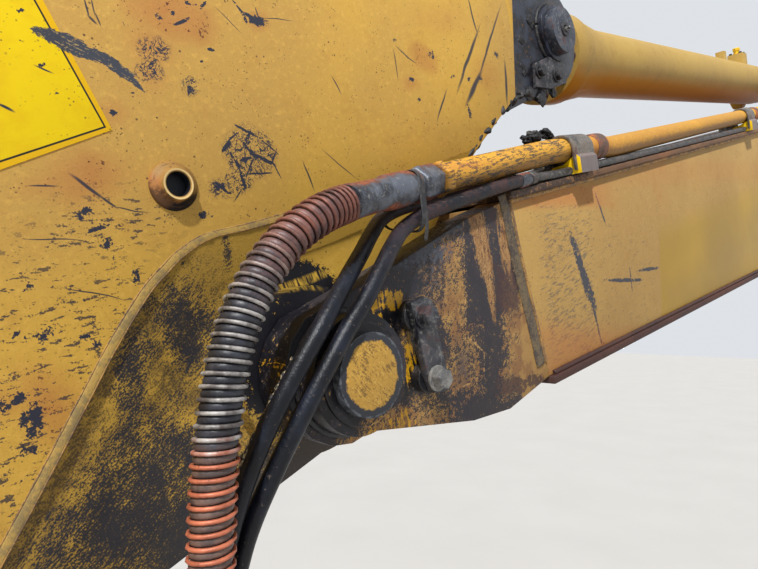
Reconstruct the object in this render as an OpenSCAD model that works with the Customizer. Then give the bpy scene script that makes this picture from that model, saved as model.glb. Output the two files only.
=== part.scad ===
// Digging front of a crawler excavator: boom, arm, arm cylinder, bucket cylinder and bucket linkage,
// with its pins, its side pipe line and the hoses that cross the arm pivot. The bucket is off.
// Millimetres. The origin is the centre of the boom's foot bore. X runs out to the bucket, Y to the
// machine's left and Z up. The arm is swung fully out and the bucket cylinder is drawn in.

/* [Boom] */
// Distance from the foot bore to the arm pivot
boom_reach = 5650; // [5400:50:5900]
// Fall of the boom's outer run, in degrees below level towards the arm
boom_fall = 15; // [13:0.5:17]
// Length of the boom's outer run, from the arm pivot to the bend
outer_run = 3400; // [3300:50:3500]
// Width over the boom's two side plates
boom_w = 450; // [430:10:480]
// Thickness of the boom's and the arm's side plates
side_t = 12; // [8:1:16]
// Thickness of the top and bottom plates
flange_t = 13; // [10:1:16]
// How far the top and bottom plates stand out past the boom's side plates
flange_over = 10; // [6:1:16]

/* [Arm] */
// Distance from the arm pivot to the bucket pivot
arm_len = 2920; // [2800:20:3000]
// Fall of the arm below level when it is fully out, in degrees
arm_droop = 24; // [23:0.5:25]
// Gap between the arm's side plates and the boom's fork, on each side
arm_gap = 10; // [8:1:15]
// Depth of the hollow pressed into the arm's flanks round its hub
hub_hollow = 23; // [16:1:30]

/* [Pins] */
// Radius of the arm pivot pin
main_pin_r = 45; // [40:1:48]
// Radius of the boom foot bore
foot_bore_r = 45; // [40:1:50]
// Radius of the boom cylinder's pin bore
lift_bore_r = 42; // [38:1:46]
// Radius of the arm cylinder's pins
arm_cyl_pin_r = 40; // [36:1:44]
// Radius of the bucket cylinder's pins, of the links' pins and of the bucket bores
link_pin_r = 38; // [34:1:40]
// Running clearance of a pin in its bush, on the radius
pin_gap = 0.08; // [0.05:0.01:0.1]

/* [Cylinders] */
// Outer radius of the arm cylinder's barrel
arm_barrel_r = 86; // [82:1:90]
// Radius of the arm cylinder's rod
arm_rod_r = 50; // [46:1:54]
// Outer radius of the bucket cylinder's barrel
bucket_barrel_r = 68; // [64:1:72]
// Radius of the bucket cylinder's rod
bucket_rod_r = 40; // [36:1:44]

/* [Lines] */
// Outer diameter of the side pipe line
pipe_d = 42; // [38:1:46]
// Outer diameter of the spring guard on the big hose
guard_d = 42; // [40:1:48]
// Outer diameter of the two slim hoses
slim_d = 19; // [17:1:21]

/* [Hidden] */
$fn = 64;

ochre = "#c9993f";
dark_ochre = "#8f7436";
steel = "#5c5f60";
chrome = "#c8ccd0";
rubber = "#23262b";

// Directions and the places of the pivots, as [x, z]
pivot = [boom_reach, 0];
// A point of the boom's outer run: s back from the arm pivot along the run, n square to it, upwards.
function outer_pt(s, n) = pivot + s * [-cos(boom_fall), sin(boom_fall)] + n * [sin(boom_fall), cos(boom_fall)];
bend = outer_pt(outer_run, 0);
foot_rise = atan2(bend[1], bend[0]);
// A point of the boom's foot run: s out from the foot bore along the run, n square to it, upwards.
function foot_pt(s, n) = s * [cos(foot_rise), sin(foot_rise)] + n * [-sin(foot_rise), cos(foot_rise)];
half_bend = (foot_rise + boom_fall) / 2;

// The boom's depth: half depths above and below the run's line
seam_s = 365;
seam_up = 148;
seam_down = 144;
mid_s = 1880;
mid_up = 196;
mid_down = 252;
bend_up = 268;
bend_down = 358;
foot_half = 165;
foot_s = 300;
foot_end_r = 118;
fork_t = 50;
fork_gap = boom_w - 2 * fork_t;
arm_w = fork_gap - 2 * arm_gap;
function bend_s(lift) = outer_run + (bend_up + lift) * tan(half_bend);
function top_corner(lift = 0) = outer_pt(bend_s(lift), bend_up + lift);
bottom_corner = outer_pt(outer_run - bend_down * tan(half_bend), -bend_down);
top_round = 1100;
bottom_round = 1500;

// Points of a round of radius r that replaces corner b of the outline a, b, c
function unit(v) = v / norm(v);
function rounded(a, b, c, r, n = 6) =
  let (
    u = unit(a - b), v = unit(c - b), half = acos(u * v) / 2, back = r / tan(half),
    m = b + unit(u + v) * r / sin(half), p = b + u * back, q = b + v * back,
    start = atan2(p[1] - m[1], p[0] - m[0]), stop = atan2(q[1] - m[1], q[0] - m[0]),
    turn = (stop - start) > 180 ? stop - start - 360 : (stop - start) < -180 ? stop - start + 360 : stop - start
  ) [for (i = [0:n]) m + r * [cos(start + turn * i / n), sin(start + turn * i / n)]];
function arc(c, r, from, to, n = 8) = [for (i = [0:n]) c + r * [cos(from + (to - from) * i / n), sin(from + (to - from) * i / n)]];
function reversed(list) = [for (i = [len(list) - 1:-1:0]) list[i]];
function lowered(list, d) = [for (p = list) p - [0, d]];

boom_top = concat(
  [outer_pt(seam_s, seam_up), outer_pt(mid_s, mid_up)],
  rounded(outer_pt(mid_s, mid_up), top_corner(), foot_pt(foot_s, foot_half), top_round),
  [foot_pt(foot_s, foot_half)]
);
boom_bottom = concat(
  [outer_pt(seam_s + 45, -seam_down), outer_pt(mid_s, -mid_down)],
  rounded(outer_pt(mid_s, -mid_down), bottom_corner, foot_pt(foot_s, -foot_half), bottom_round),
  [foot_pt(foot_s, -foot_half)]
);
boom_outline = concat(
  boom_top,
  arc([0, 0], foot_end_r, foot_rise + 110, foot_rise + 250),
  reversed(boom_bottom)
);

// Places on the arm, as [x, z] from the arm pivot in the arm's own frame, x out to the bucket pivot
hub_r = 110;
rear_pin = [-856, 333];
link_pivot = [arm_len - 420, 60];
tip = [arm_len, 0];
cyl_foot = [330, 650];
tube_boss = [76, 241];
arm_floor = -hub_r;
arm_outline = concat(
  [[-584, 232], [-650, 395], [-655, 440], [-560, 505], [-260, 560], [330, 535], [520, 505]],
  arc(tip, 92, 79, -90),
  arc([0, 0], hub_r, 270, 237, 4),
  [[-436, 172]]
);
// The hub casting fills the arm's flank below this line, which its hollow follows
hub_line = [
  [-436, 172], [-150, 172], [0, 180], [62, 186], [97, 180], [121, 170], [148, 156], [194, 122],
  [234, 88], [320, 16], [480, arm_floor]
];
hub_outline = concat(hub_line, arc([0, 0], hub_r, 270, 237, 4));
hub_t = 20;
hub_in = arm_w / 2 - hub_hollow - hub_t;

// The bucket linkage
link_len = 620;
push_len = 600;
closed_turn = 28;
back_line = atan2(cyl_foot[1] - link_pivot[1], cyl_foot[0] - link_pivot[0]);
link_top = link_pivot + link_len * [cos(back_line - closed_turn), sin(back_line - closed_turn)];
push_dir = -13.4;
push_end = link_top + push_len * [cos(push_dir), sin(push_dir)];
link_t = 36;
link_gap = 6;
link_eye_r = 72;

// The arm cylinder: from the rear pin back to its foot on the boom
foot_bracket = outer_pt(3040, 436);
function from_arm(p) = pivot + [
  p[0] * cos(arm_droop) + p[1] * sin(arm_droop), -p[0] * sin(arm_droop) + p[1] * cos(arm_droop)
];
rear_pin_at = from_arm(rear_pin);
arm_cyl_len = norm(foot_bracket - rear_pin_at);
arm_cyl_rise = atan2(foot_bracket[1] - rear_pin_at[1], rear_pin_at[0] - foot_bracket[0]);
bucket_cyl_len = norm(cyl_foot - link_top);
bucket_cyl_rise = atan2(cyl_foot[1] - link_top[1], link_top[0] - cyl_foot[0]);
eye_w = 110;
bucket_eye_w = 96;
ear_gap = 4;
ear_t = 45;

// The hoses' routes: points from the arm pivot at the boom's left side plate, [x, y, z]
guarded_route = [
  [20, 37, 182], [58, 40, 166], [95, 41, 142], [127, 41, 108], [150, 41, 68], [164, 41, 26],
  [172, 41, -20], [177, 41, -80], [178, 41, -150], [180, 40, -230], [188, 37, -315],
  [206, 31, -400], [242, 23, -480], [300, 13, -550], [385, 3, -598], [480, -7, -612],
  [575, -15, -600], [655, -19, -558], [710, -20, -492], [743, -20, -420]
];
slim_front_route = [
  [-369, -29, 279], [-260, -34, 247], [-180, -38, 223], [-122, -38, 203], [-80, -26, 183], [-44, -6, 158],
  [-12, 13, 132], [18, 28, 106], [46, 38, 76], [73, 43, 42], [106, 36, -14], [130, 22, -76], [144, 12, -130], [154, 8, -180],
  [167, 5, -240], [195, 1, -312], [238, -5, -380], [285, -13, -440], [345, -21, -488],
  [420, -29, -512], [500, -35, -510], [570, -38, -482], [618, -39, -430], [647, -39, -366]
];
slim_rear_route = [
  [-369, 5, 279], [-280, 11, 250], [-190, 12, 217], [-120, 13, 190], [-74, 20, 166], [-42, 32, 141],
  [-16, 40, 112], [11, 45, 78], [41, 46, 41], [78, 39, -21], [106, 24, -84], [124, 10, -138], [135, 1, -190], [150, -6, -245],
  [176, -18, -298], [215, -27, -346], [266, -30, -396], [325, -36, -436], [395, -39, -460],
  [465, -39, -458], [530, -39, -436], [578, -39, -396], [603, -39, -342]
];

// Frames
module on_outer_run() translate([boom_reach, 0, 0]) rotate([0, boom_fall, 0]) children();
module on_arm() translate([boom_reach, 0, 0]) rotate([0, arm_droop, 0]) children();
// x runs from the rod's eye towards the cylinder's foot
module on_arm_cylinder() translate([rear_pin_at[0], 0, rear_pin_at[1]]) rotate([0, 180 + arm_cyl_rise, 0]) children();
module on_bucket_cylinder() on_arm() translate([link_top[0], 0, link_top[1]]) rotate([0, 180 + bucket_cyl_rise, 0]) children();

// Building blocks
module slab(points, y0, y1) translate([0, y1, 0]) rotate([90, 0, 0]) linear_extrude(y1 - y0) polygon(points);
module bar_y(r, y0, y1, at = [0, 0]) translate([at[0], y0, at[1]]) rotate([-90, 0, 0]) cylinder(r = r, h = y1 - y0);
module bar_x(r, x0, x1) translate([x0, 0, 0]) rotate([0, 90, 0]) cylinder(r = r, h = x1 - x0);
module both_sides() for (side = [0, 1]) mirror([0, side, 0]) children();
// A flat ear with a round end, from its root line up to the pin
module ear(points, at, r, y0, y1) hull() {
  bar_y(r, y0, y1, at, $fn = 48);
  slab(points, y0, y1);
}
// A straight round bar from p to q
module bar_between(p, q, d) {
  v = q - p;
  translate(p) rotate([0, acos(v[2] / norm(v)), atan2(v[1], v[0])]) cylinder(d = d, h = norm(v));
}
// Rings of a bent pipe or hose: each square to its route, which never runs straight along Y
function along(p, i) = unit(p[min(i + 1, len(p) - 1)] - p[max(i - 1, 0)]);
function ring(p, i, r, sides) =
  let (t = along(p, i), u = unit(cross(t, [0, 1, 0])), v = cross(u, t))
  [for (k = [0:sides - 1]) p[i] + r * (cos(360 * k / sides) * u + sin(360 * k / sides) * v)];
module tube(p, d, sides = 10) {
  n = len(p);
  points = [for (i = [0:n - 1]) each ring(p, i, d / 2, sides)];
  walls = [for (i = [0:n - 2], k = [0:sides - 1]) [
    i * sides + k, i * sides + (k + 1) % sides, (i + 1) * sides + (k + 1) % sides, (i + 1) * sides + k
  ]];
  ends = [[for (k = [sides - 1:-1:0]) k], [for (k = [0:sides - 1]) (n - 1) * sides + k]];
  polyhedron(points, concat(walls, ends));
}
// An outline [x, z] with its corners rounded, laid at one y
function bent(list, r) = concat(
  [list[0]], [for (i = [1:len(list) - 2]) each rounded(list[i - 1], list[i], list[i + 1], r, 4)], [list[len(list) - 1]]
);
function at_y(list, y) = [for (p = list) [p[0], y, p[1]]];
module pipe(points, d) tube(points, d, 16);

// The boom's plates
module boom_side(y0, y1) color(ochre) difference() {
  slab(boom_outline, y0, y1);
  bar_y(foot_end_r - 18, y0 - 1, y1 + 1);
  bar_y(lift_boss_r, y0 - 1, y1 + 1, lift_boss);
}
lift_boss = outer_pt(outer_run - 90, -190);
lift_boss_r = 74;
module boom_side_left() boom_side(boom_w / 2 - side_t, boom_w / 2);
module boom_side_right() boom_side(-boom_w / 2, -boom_w / 2 + side_t);
module boom_top_plate() color(ochre)
  slab(concat(lowered(boom_top, -flange_t), reversed(boom_top)), -boom_w / 2 - flange_over, boom_w / 2 + flange_over);
module boom_bottom_plate() color(dark_ochre)
  slab(concat(boom_bottom, reversed(lowered(boom_bottom, flange_t))), -boom_w / 2 - flange_over, boom_w / 2 + flange_over);

// The foot: a tube across the boom with its bore
foot_w = 560;
module boom_foot() color(ochre) difference() {
  union() {
    bar_y(foot_end_r - 18, -foot_w / 2, foot_w / 2);
    both_sides() bar_y(foot_end_r + 8, foot_w / 2 - 22, foot_w / 2);
  }
  bar_y(foot_bore_r, -foot_w, foot_w);
}

// The tube that takes the boom cylinders' pin
lift_w = 580;
module boom_lift_boss() color(ochre) difference() {
  union() {
    bar_y(lift_boss_r, -lift_w / 2, lift_w / 2, lift_boss);
    both_sides() bar_y(lift_boss_r + 34, boom_w / 2, boom_w / 2 + 14, lift_boss);
  }
  bar_y(lift_bore_r, -lift_w, lift_w, lift_boss);
}

// The fork at the boom's outer end: two thick ears, their bosses and the web behind the arm
fork_r = 80;
fork_boss_r = 66;
fork_boss_out = 30;
fork_outline = concat(
  [[-seam_s, seam_up], [-262, 134], [-111, 100]],
  arc([0, 0], fork_r, 62, -104),
  [[-204, -138], [-290, -154], [-seam_s - 45, -seam_down]]
);
web_line = [[-352, 143], [-346, 60], [-350, -40], [-372, -115], [-404, -141]];
module boom_fork() color(ochre) on_outer_run() difference() {
  union() {
    both_sides() {
      slab(fork_outline, fork_gap / 2, boom_w / 2);
      bar_y(fork_boss_r, boom_w / 2 - 10, boom_w / 2 + fork_boss_out);
    }
    slab(concat(web_line, reversed([for (p = web_line) p - [16, 0]])), -fork_gap / 2 - 4, fork_gap / 2 + 4);
  }
  bar_y(main_pin_r, -boom_w, boom_w);
}

// The two ears on the boom's back that hold the arm cylinder's foot
bracket_out = eye_w / 2 + ear_gap + ear_t;
module arm_cylinder_bracket() color(ochre) difference() {
  both_sides() ear(
    [outer_pt(3300, 240), outer_pt(2960, 230)], foot_bracket, 88,
    eye_w / 2 + ear_gap, bracket_out
  );
  bar_y(arm_cyl_pin_r, -boom_w, boom_w, foot_bracket);
  slab(concat(lowered(boom_top, -flange_t), [foot_pt(foot_s, 0), outer_pt(seam_s, 0)]), -boom_w, boom_w);
}
module arm_cylinder_pin_ends() color(steel) both_sides() {
  bar_y(arm_cyl_pin_r, eye_w / 2 + ear_gap, bracket_out, foot_bracket);
  bar_y(arm_cyl_pin_r + 14, bracket_out, bracket_out + 16, foot_bracket);
}

// The arm pivot pin, with its end discs and its locking tongue
disc_out = boom_w / 2 + 45;
module main_pin() color(dark_ochre) {
  bar_y(main_pin_r, -boom_w / 2 - fork_boss_out, -fork_gap / 2, pivot);
  bar_y(main_pin_r - pin_gap, -fork_gap / 2, fork_gap / 2, pivot);
  bar_y(main_pin_r, fork_gap / 2, disc_out, pivot);
}

// The plate that keeps the pin from turning, on two blocks with two bolts
keeper_t = 12;
keeper_bolts = [[-114, 38], [-117, -42]];
block_t = 12;
module keeper_plate() color(steel) on_outer_run() {
  for (p = keeper_bolts) {
    bar_y(19, boom_w / 2, boom_w / 2 + block_t, p);
    bar_y(16, boom_w / 2 + block_t + keeper_t, boom_w / 2 + block_t + keeper_t + 4, p);
    bar_y(13, boom_w / 2 + block_t + keeper_t + 4, boom_w / 2 + block_t + keeper_t + 16, p, $fn = 6);
  }
  slab(
    [[-98, 54], [-124, 56], [-136, 49], [-136, 13], [-141, -41], [-144, -58], [-130, -67], [-110, -62], [-104, -38]],
    boom_w / 2 + block_t, boom_w / 2 + block_t + keeper_t
  );
}

// The top plate's upper face, by the distance s back from the arm pivot
flange_n = flange_t * cos(boom_fall);
function plate_n(s) = flange_n + lookup(s, [[seam_s, seam_up], [mid_s, mid_up], [bend_s(0), bend_up]]);
// A line that follows the boom's back from its middle to near the foot, at a height above the plates' run
line_end = 400;
function over_back(lift) =
  let (start = outer_pt(mid_s, mid_up + lift), corner = top_corner(lift), low = foot_pt(foot_s, foot_half + lift))
  concat([start], rounded(start, corner, low, top_round), [low + unit(corner - low) * line_end]);

// The pipe line along the boom's left edge, with the ferrule and nut that the big hose leaves from
line_y = boom_w / 2 - 5;
line_lift = flange_n + 48;
line_heights = [
  [190, 191], [520, 212], [680, 212], [760, 208], [mid_s, mid_up + line_lift], [bend_s(line_lift), bend_up + line_lift]
];
function line_n(s) = lookup(s, line_heights);
boom_line = concat([for (i = [0:3]) outer_pt(line_heights[i][0], line_heights[i][1])], over_back(line_lift));
hose_start = guarded_route[0] + [boom_reach, boom_w / 2, 0];
nut_d = 50;
nut_len = 44;
module boom_pipe() color(ochre) {
  first = at_y(boom_line, line_y)[0];
  second = at_y(boom_line, line_y)[1];
  pipe(at_y(boom_line, line_y), pipe_d);
  bar_between(hose_start, first + unit(second - first) * 8, pipe_d + 2);
  bar_between(first - unit(first - hose_start) * nut_len, first, nut_d, $fn = 6);
  bar_between(hose_start + unit(first - hose_start) * 40, hose_start + unit(first - hose_start) * 48, pipe_d + 6);
}

// The two slim steel lines beside the pipe, one on each side
slim_steel_d = 14;
slim_lift = flange_n + 8;
slim_start = [520, plate_n(520) - flange_n + slim_lift];
slim_heights = [slim_start, [mid_s, mid_up + slim_lift], [bend_s(slim_lift), bend_up + slim_lift]];
module boom_slim_lines() color(steel) for (route = [slim_front_route, slim_rear_route]) {
  first = route[0] + [boom_reach, boom_w / 2, 0];
  back = at_y(concat([outer_pt(slim_start[0], slim_start[1])], over_back(slim_lift)), first[1]);
  pipe(concat([first], back), slim_steel_d);
}

// The saddle clamps that hold the lines on the boom's top plate
clamp_at = [600, 1760, 2700];
clamp_w = 80;
clamp_play = 0.6;
module clamp_bore(s, y, d, heights) bar_between(
  at_y([outer_pt(s - clamp_w, lookup(s - clamp_w, heights))], y)[0],
  at_y([outer_pt(s + clamp_w, lookup(s + clamp_w, heights))], y)[0], d + clamp_play
);
module boom_pipe_clamps() color(steel) for (s = clamp_at) {
  base = plate_n(s);
  up = line_n(s) - base;
  slope = atan2(plate_n(s + 1) - base, 1);
  difference() {
    on_outer_run() translate([-s, line_y, base]) rotate([0, slope, 0]) {
      translate([-clamp_w / 2, -30, 0]) cube([clamp_w, 55, up]);
      translate([-clamp_w / 2, 0, up]) rotate([0, 90, 0]) cylinder(r = pipe_d / 2 + 8, h = clamp_w);
      translate([-clamp_w / 2 + 8, -64, 0]) cube([clamp_w - 16, 40, up + 15]);
      translate([0, -48, up + 10]) cylinder(r = 13, h = 22, $fn = 6);
    }
    clamp_bore(s, line_y, pipe_d, line_heights);
    for (route = [slim_front_route, slim_rear_route])
      clamp_bore(s, route[0][1] + boom_w / 2, slim_steel_d, slim_heights);
  }
}

// The arm's plates
module arm_side(y0, y1) color(ochre) on_arm() difference() {
  slab(arm_outline, y0, y1);
  slab(concat(hub_line, [[480, -300], [-436, -300]]), y0 - 1, y1 + 1);
  bar_y(link_boss_r, y0 - 1, y1 + 1, link_pivot);
  bar_y(tip_r, y0 - 1, y1 + 1, tip);
}
link_boss_r = 70;
tip_r = 80;
module arm_side_left() arm_side(arm_w / 2 - side_t, arm_w / 2);
module arm_side_right() arm_side(-arm_w / 2, -arm_w / 2 + side_t);
arm_in = arm_w / 2 - side_t;
arm_top = [[-560, 505], [-260, 560], [330, 535], [520, 505], [arm_len - 20, 92]];
module arm_top_plate() color(ochre) on_arm()
  slab(concat(arm_top, reversed(lowered(arm_top, flange_t))), -arm_in, arm_in);
module arm_bottom_plate() color(dark_ochre) on_arm() {
  slab([[490, arm_floor], [490, arm_floor + flange_t], [arm_len - 60, -92 + flange_t], [arm_len - 60, -92]], -arm_in, arm_in);
}

// The hub casting: two thick flanks with a hollow round the hub, the tube and its thrust rings
ring_r = 98;
thrust_gap = 3;
ring_out = fork_gap / 2 - thrust_gap;
hollow_scale = 0.72;
module hub_hollow_left() translate([0, arm_w / 2 - hub_hollow, 0]) rotate([-90, 0, 0]) mirror([0, 1, 0])
  linear_extrude(height = hub_hollow + 0.01, scale = 1 / hollow_scale)
    polygon(hollow_scale * concat(hub_line, [[700, -300], [700, -420], [-900, -420], [-900, 140]]));
module arm_hub() color(ochre) on_arm() difference() {
  union() {
    difference() {
      both_sides() slab(hub_outline, hub_in, arm_w / 2);
      both_sides() hub_hollow_left();
    }
    bar_y(ring_r, -ring_out, ring_out);
    slab(concat([[30, arm_floor], [490, arm_floor]], [[490, arm_floor + 14], [30, arm_floor + 14]]), -130, 130);
  }
  bar_y(main_pin_r, -ring_out - 1, ring_out + 1);
}

// The two ears that hold the rod's eye, joined by a web to the arm
rear_in = eye_w / 2 + ear_gap;
rear_out = rear_in + 60;
rear_disc_out = 150;
module arm_rear_ears() color(dark_ochre) on_arm() difference() {
  union() {
    both_sides() {
      ear([[-570, 245], [-562, 488], [-450, 196]], rear_pin, 100, rear_in, rear_out);
      bar_y(58, rear_out, rear_out + 12, rear_pin);
    }
    slab([[-568, 238], [-634, 397], [-640, 436], [-562, 503], [-562, 484], [-622, 432], [-616, 401], [-555, 252]], -arm_in, arm_in);
    slab([[-568, 238], [-440, 184], [-440, 200], [-555, 252]], -arm_in, arm_in);
    slab([[-440, 184], [-62, -80], [-52, -68], [-440, 200]], -hub_in, hub_in);
  }
  bar_y(arm_cyl_pin_r, -boom_w, boom_w, rear_pin);
  bar_y(ring_r + 1, -boom_w, boom_w);
}
module arm_rear_pin() color(steel) on_arm() {
  both_sides() {
    bar_y(arm_cyl_pin_r, rear_in, rear_disc_out, rear_pin);
    bar_y(arm_cyl_pin_r + 6, rear_out + 12, rear_disc_out, rear_pin);
  }
  bar_y(arm_cyl_pin_r - pin_gap, -rear_in, rear_in, rear_pin);
}

// The short open tube that stands out of the arm's left flank
tube_boss_h = 14;
module arm_tube_boss() color(dark_ochre) on_arm() difference() {
  union() {
    bar_y(26, arm_w / 2, arm_w / 2 + 8, tube_boss);
    bar_y(16, arm_w / 2, arm_w / 2 + tube_boss_h, tube_boss);
  }
  bar_y(12, arm_w / 2 - 1, arm_w, tube_boss);
}

module arm_link_boss() color(ochre) on_arm() difference() {
  bar_y(link_boss_r, -arm_w / 2, arm_w / 2, link_pivot);
  bar_y(link_pin_r, -arm_w, arm_w, link_pivot);
}
module arm_tip_boss() color(ochre) on_arm() difference() {
  bar_y(tip_r, -arm_w / 2 - 4, arm_w / 2 + 4, tip);
  bar_y(link_pin_r, -arm_w, arm_w, tip);
}

// The ears on the arm's back that hold the bucket cylinder's foot
small_in = bucket_eye_w / 2 + ear_gap;
small_out = small_in + 38;
module bucket_cylinder_bracket() color(ochre) on_arm() difference() {
  both_sides() ear([[170, 541], [400, 526]], cyl_foot, 78, small_in, small_out);
  bar_y(link_pin_r, -arm_w, arm_w, cyl_foot);
  slab(concat(arm_top, [[700, 100], [-560, 100]]), -arm_w, arm_w);
}
module bucket_cylinder_pin_ends() color(steel) on_arm() both_sides() {
  bar_y(link_pin_r, small_in, small_out, cyl_foot);
  bar_y(link_pin_r + 12, small_out, small_out + 14, cyl_foot);
}

// The pipe line along the arm's left flank. Its bent end looks down and takes the big hose.
arm_line_y = arm_w / 2 + 40;
arm_pipe_x = 850;
arm_pipe_end = [arm_pipe_x, -80];
arm_pipe_stop = arm_len - 680;
arm_line = bent([arm_pipe_end, [arm_pipe_x, 30], [arm_pipe_stop, 20]], 60);
module arm_pipe() color(ochre) on_arm() {
  pipe(at_y(arm_line, arm_line_y), pipe_d);
  for (x = [arm_pipe_x + 150, (arm_pipe_x + arm_pipe_stop) / 2, arm_pipe_stop - 80])
    translate([x, arm_w / 2, 0]) cube([40, arm_line_y - arm_w / 2 + 26, 52]);
}
slim_ends = [[740, -70], [690, -66]];
slim_rise = [85, 125];
slim_stop = arm_len - 720;
slim_y = arm_w / 2 + 21;
module arm_slim_lines() color(steel) on_arm() for (i = [0, 1]) {
  z = slim_rise[i];
  x = slim_ends[i][0];
  pipe(at_y(bent([slim_ends[i], [x, z], [slim_stop, z - 14]], 40), slim_y), slim_steel_d);
  for (at = [slim_ends[0][0] + 160, (slim_ends[0][0] + slim_stop) / 2, slim_stop - 100])
    translate([at, arm_w / 2, z - 20]) cube([24, 30, 24]);
}

// The arm cylinder
arm_head_at = 150;
arm_head_len = 70;
arm_cone_len = 150;
module arm_cylinder_rod() color(chrome) on_arm_cylinder() difference() {
  union() {
    bar_y(78, -eye_w / 2, eye_w / 2);
    bar_x(arm_rod_r, 40, arm_cyl_len - 160);
    bar_x(eye_w / 2, 40, 100);
  }
  bar_y(arm_cyl_pin_r, -eye_w, eye_w);
}
collar_r = arm_barrel_r + 22;
foot_back = 106;
port_at = arm_cyl_len - 290;
port_up = 45;
module arm_cylinder_barrel() color(ochre) on_arm_cylinder() difference() {
  union() {
    bar_x(arm_barrel_r, arm_head_at + 60, arm_cyl_len - foot_back);
    bar_x(collar_r, arm_head_at, arm_head_at + arm_head_len);
    translate([arm_head_at + arm_head_len, 0, 0]) rotate([0, 90, 0])
      cylinder(r1 = collar_r - 3, r2 = arm_barrel_r, h = arm_cone_len);
    on_oil_side() {
      translate([oil_line_x[0], 0, -collar_r - 4]) cylinder(r = oil_block_r, h = 30);
      translate([oil_line_x[1], 0, -arm_barrel_r - 14]) cylinder(r = oil_block_r, h = 30);
    }
    translate([port_at - 35, -30, -arm_barrel_r - port_up]) cube([70, 60, port_up + 20]);
    translate([port_at - 270, -16, -arm_barrel_r - port_up + 6]) cube([34, 32, port_up + 10]);
  }
  bar_x(arm_rod_r + 0.5, arm_head_at - 1, arm_head_at + 100);
  bar_x(arm_barrel_r - 12, arm_head_at + 60, arm_cyl_len - foot_back - 30);
}
module arm_cylinder_foot() color(ochre) on_arm_cylinder() translate([arm_cyl_len, 0, 0]) {
  bar_y(74, -eye_w / 2, eye_w / 2);
  intersection() {
    bar_x(arm_barrel_r - 6, -foot_back, 0);
    translate([-foot_back - 1, -eye_w / 2, -100]) cube([foot_back + 1, eye_w, 200]);
  }
  bar_y(arm_cyl_pin_r - 4, -eye_w / 2 - 2, eye_w / 2 + 2);
}
// The oil line along the barrel's right side, between a block on the head and one near the foot
oil_line_d = 32;
oil_line_lift = 62;
oil_block_r = 24;
oil_line_x = [arm_head_at + arm_head_len / 2, arm_cyl_len - 260];
oil_line_turn = 90;
module on_oil_side() rotate([-oil_line_turn, 0, 0]) children();
module arm_cylinder_line() color(ochre) on_arm_cylinder() on_oil_side() {
  top = -arm_barrel_r - oil_line_lift;
  pipe(at_y(bent([[oil_line_x[0], -collar_r - 4], [oil_line_x[0], top], [oil_line_x[1], top],
    [oil_line_x[1], -arm_barrel_r - 14]], 24), 0), oil_line_d);
}

// The bucket linkage
module idler_link(y0, y1) color(ochre) on_arm() difference() {
  hull() {
    bar_y(link_eye_r, y0, y1, link_pivot, $fn = 48);
    bar_y(link_eye_r, y0, y1, link_top, $fn = 48);
  }
  bar_y(link_pin_r, y0 - 1, y1 + 1, link_pivot);
  bar_y(link_pin_r, y0 - 1, y1 + 1, link_top);
}
link_in = arm_w / 2 + link_gap;
module idler_link_left() idler_link(link_in, link_in + link_t);
module idler_link_right() idler_link(-link_in - link_t, -link_in);
module idler_pins() color(steel) on_arm() for (p = [link_pivot, link_top]) {
  both_sides() bar_y(link_pin_r, link_in, link_in + link_t, p);
  both_sides() bar_y(link_pin_r + 14, link_in + link_t, link_in + link_t + 14, p);
  bar_y(link_pin_r - pin_gap, -link_in, link_in, p);
}
push_in = bucket_eye_w / 2 + ear_gap;
module push_link() color(ochre) on_arm() difference() {
  union() {
    both_sides() {
      bar_y(link_eye_r, push_in, arm_w / 2, link_top);
      hull() {
        bar_y(link_eye_r, 100, 140, link_top, $fn = 48);
        bar_y(link_eye_r, 100, 140, push_end, $fn = 48);
      }
    }
    bar_y(link_eye_r, -arm_w / 2 + 10, arm_w / 2 - 10, push_end);
    bar_y(40, -110, 110, (link_top * 0.35 + push_end * 0.65));
  }
  bar_y(link_pin_r, -arm_w, arm_w, link_top);
  bar_y(link_pin_r, -arm_w, arm_w, push_end);
}

// The bucket cylinder
bucket_head_at = 140;
bucket_collar_r = bucket_barrel_r * 1.3;
small_back = 96;
module bucket_cylinder_rod() color(chrome) on_bucket_cylinder() difference() {
  union() {
    bar_y(70, -bucket_eye_w / 2, bucket_eye_w / 2);
    bar_x(bucket_rod_r, 40, bucket_cyl_len - 150);
    bar_x(bucket_eye_w / 2, 40, 90);
  }
  bar_y(link_pin_r, -bucket_eye_w, bucket_eye_w);
}
module bucket_cylinder_barrel() color(ochre) on_bucket_cylinder() difference() {
  union() {
    bar_x(bucket_barrel_r, bucket_head_at + 50, bucket_cyl_len - small_back);
    bar_x(bucket_collar_r, bucket_head_at, bucket_head_at + 60);
    translate([bucket_head_at + 60, 0, 0]) rotate([0, 90, 0]) cylinder(r1 = bucket_collar_r - 5, r2 = bucket_barrel_r, h = 70);
  }
  bar_x(bucket_rod_r + 0.5, bucket_head_at - 1, bucket_head_at + 90);
  bar_x(bucket_barrel_r - 11, bucket_head_at + 50, bucket_cyl_len - small_back - 28);
}
module bucket_cylinder_foot() color(ochre) on_bucket_cylinder() translate([bucket_cyl_len, 0, 0]) {
  bar_y(66, -bucket_eye_w / 2, bucket_eye_w / 2);
  intersection() {
    bar_x(bucket_barrel_r - 6, -small_back, 0);
    translate([-small_back - 1, -bucket_eye_w / 2, -100]) cube([small_back + 1, bucket_eye_w, 200]);
  }
  bar_y(link_pin_r - 4, -bucket_eye_w / 2 - 2, bucket_eye_w / 2 + 2);
}

// The hoses
module hose(route, d) translate([boom_reach, boom_w / 2, 0]) tube(route, d);
module guarded_hose() color(steel) hose(guarded_route, guard_d);
module slim_hose_front() color(rubber) hose(slim_front_route, slim_d);
module slim_hose_rear() color(rubber) hose(slim_rear_route, slim_d);

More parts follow.
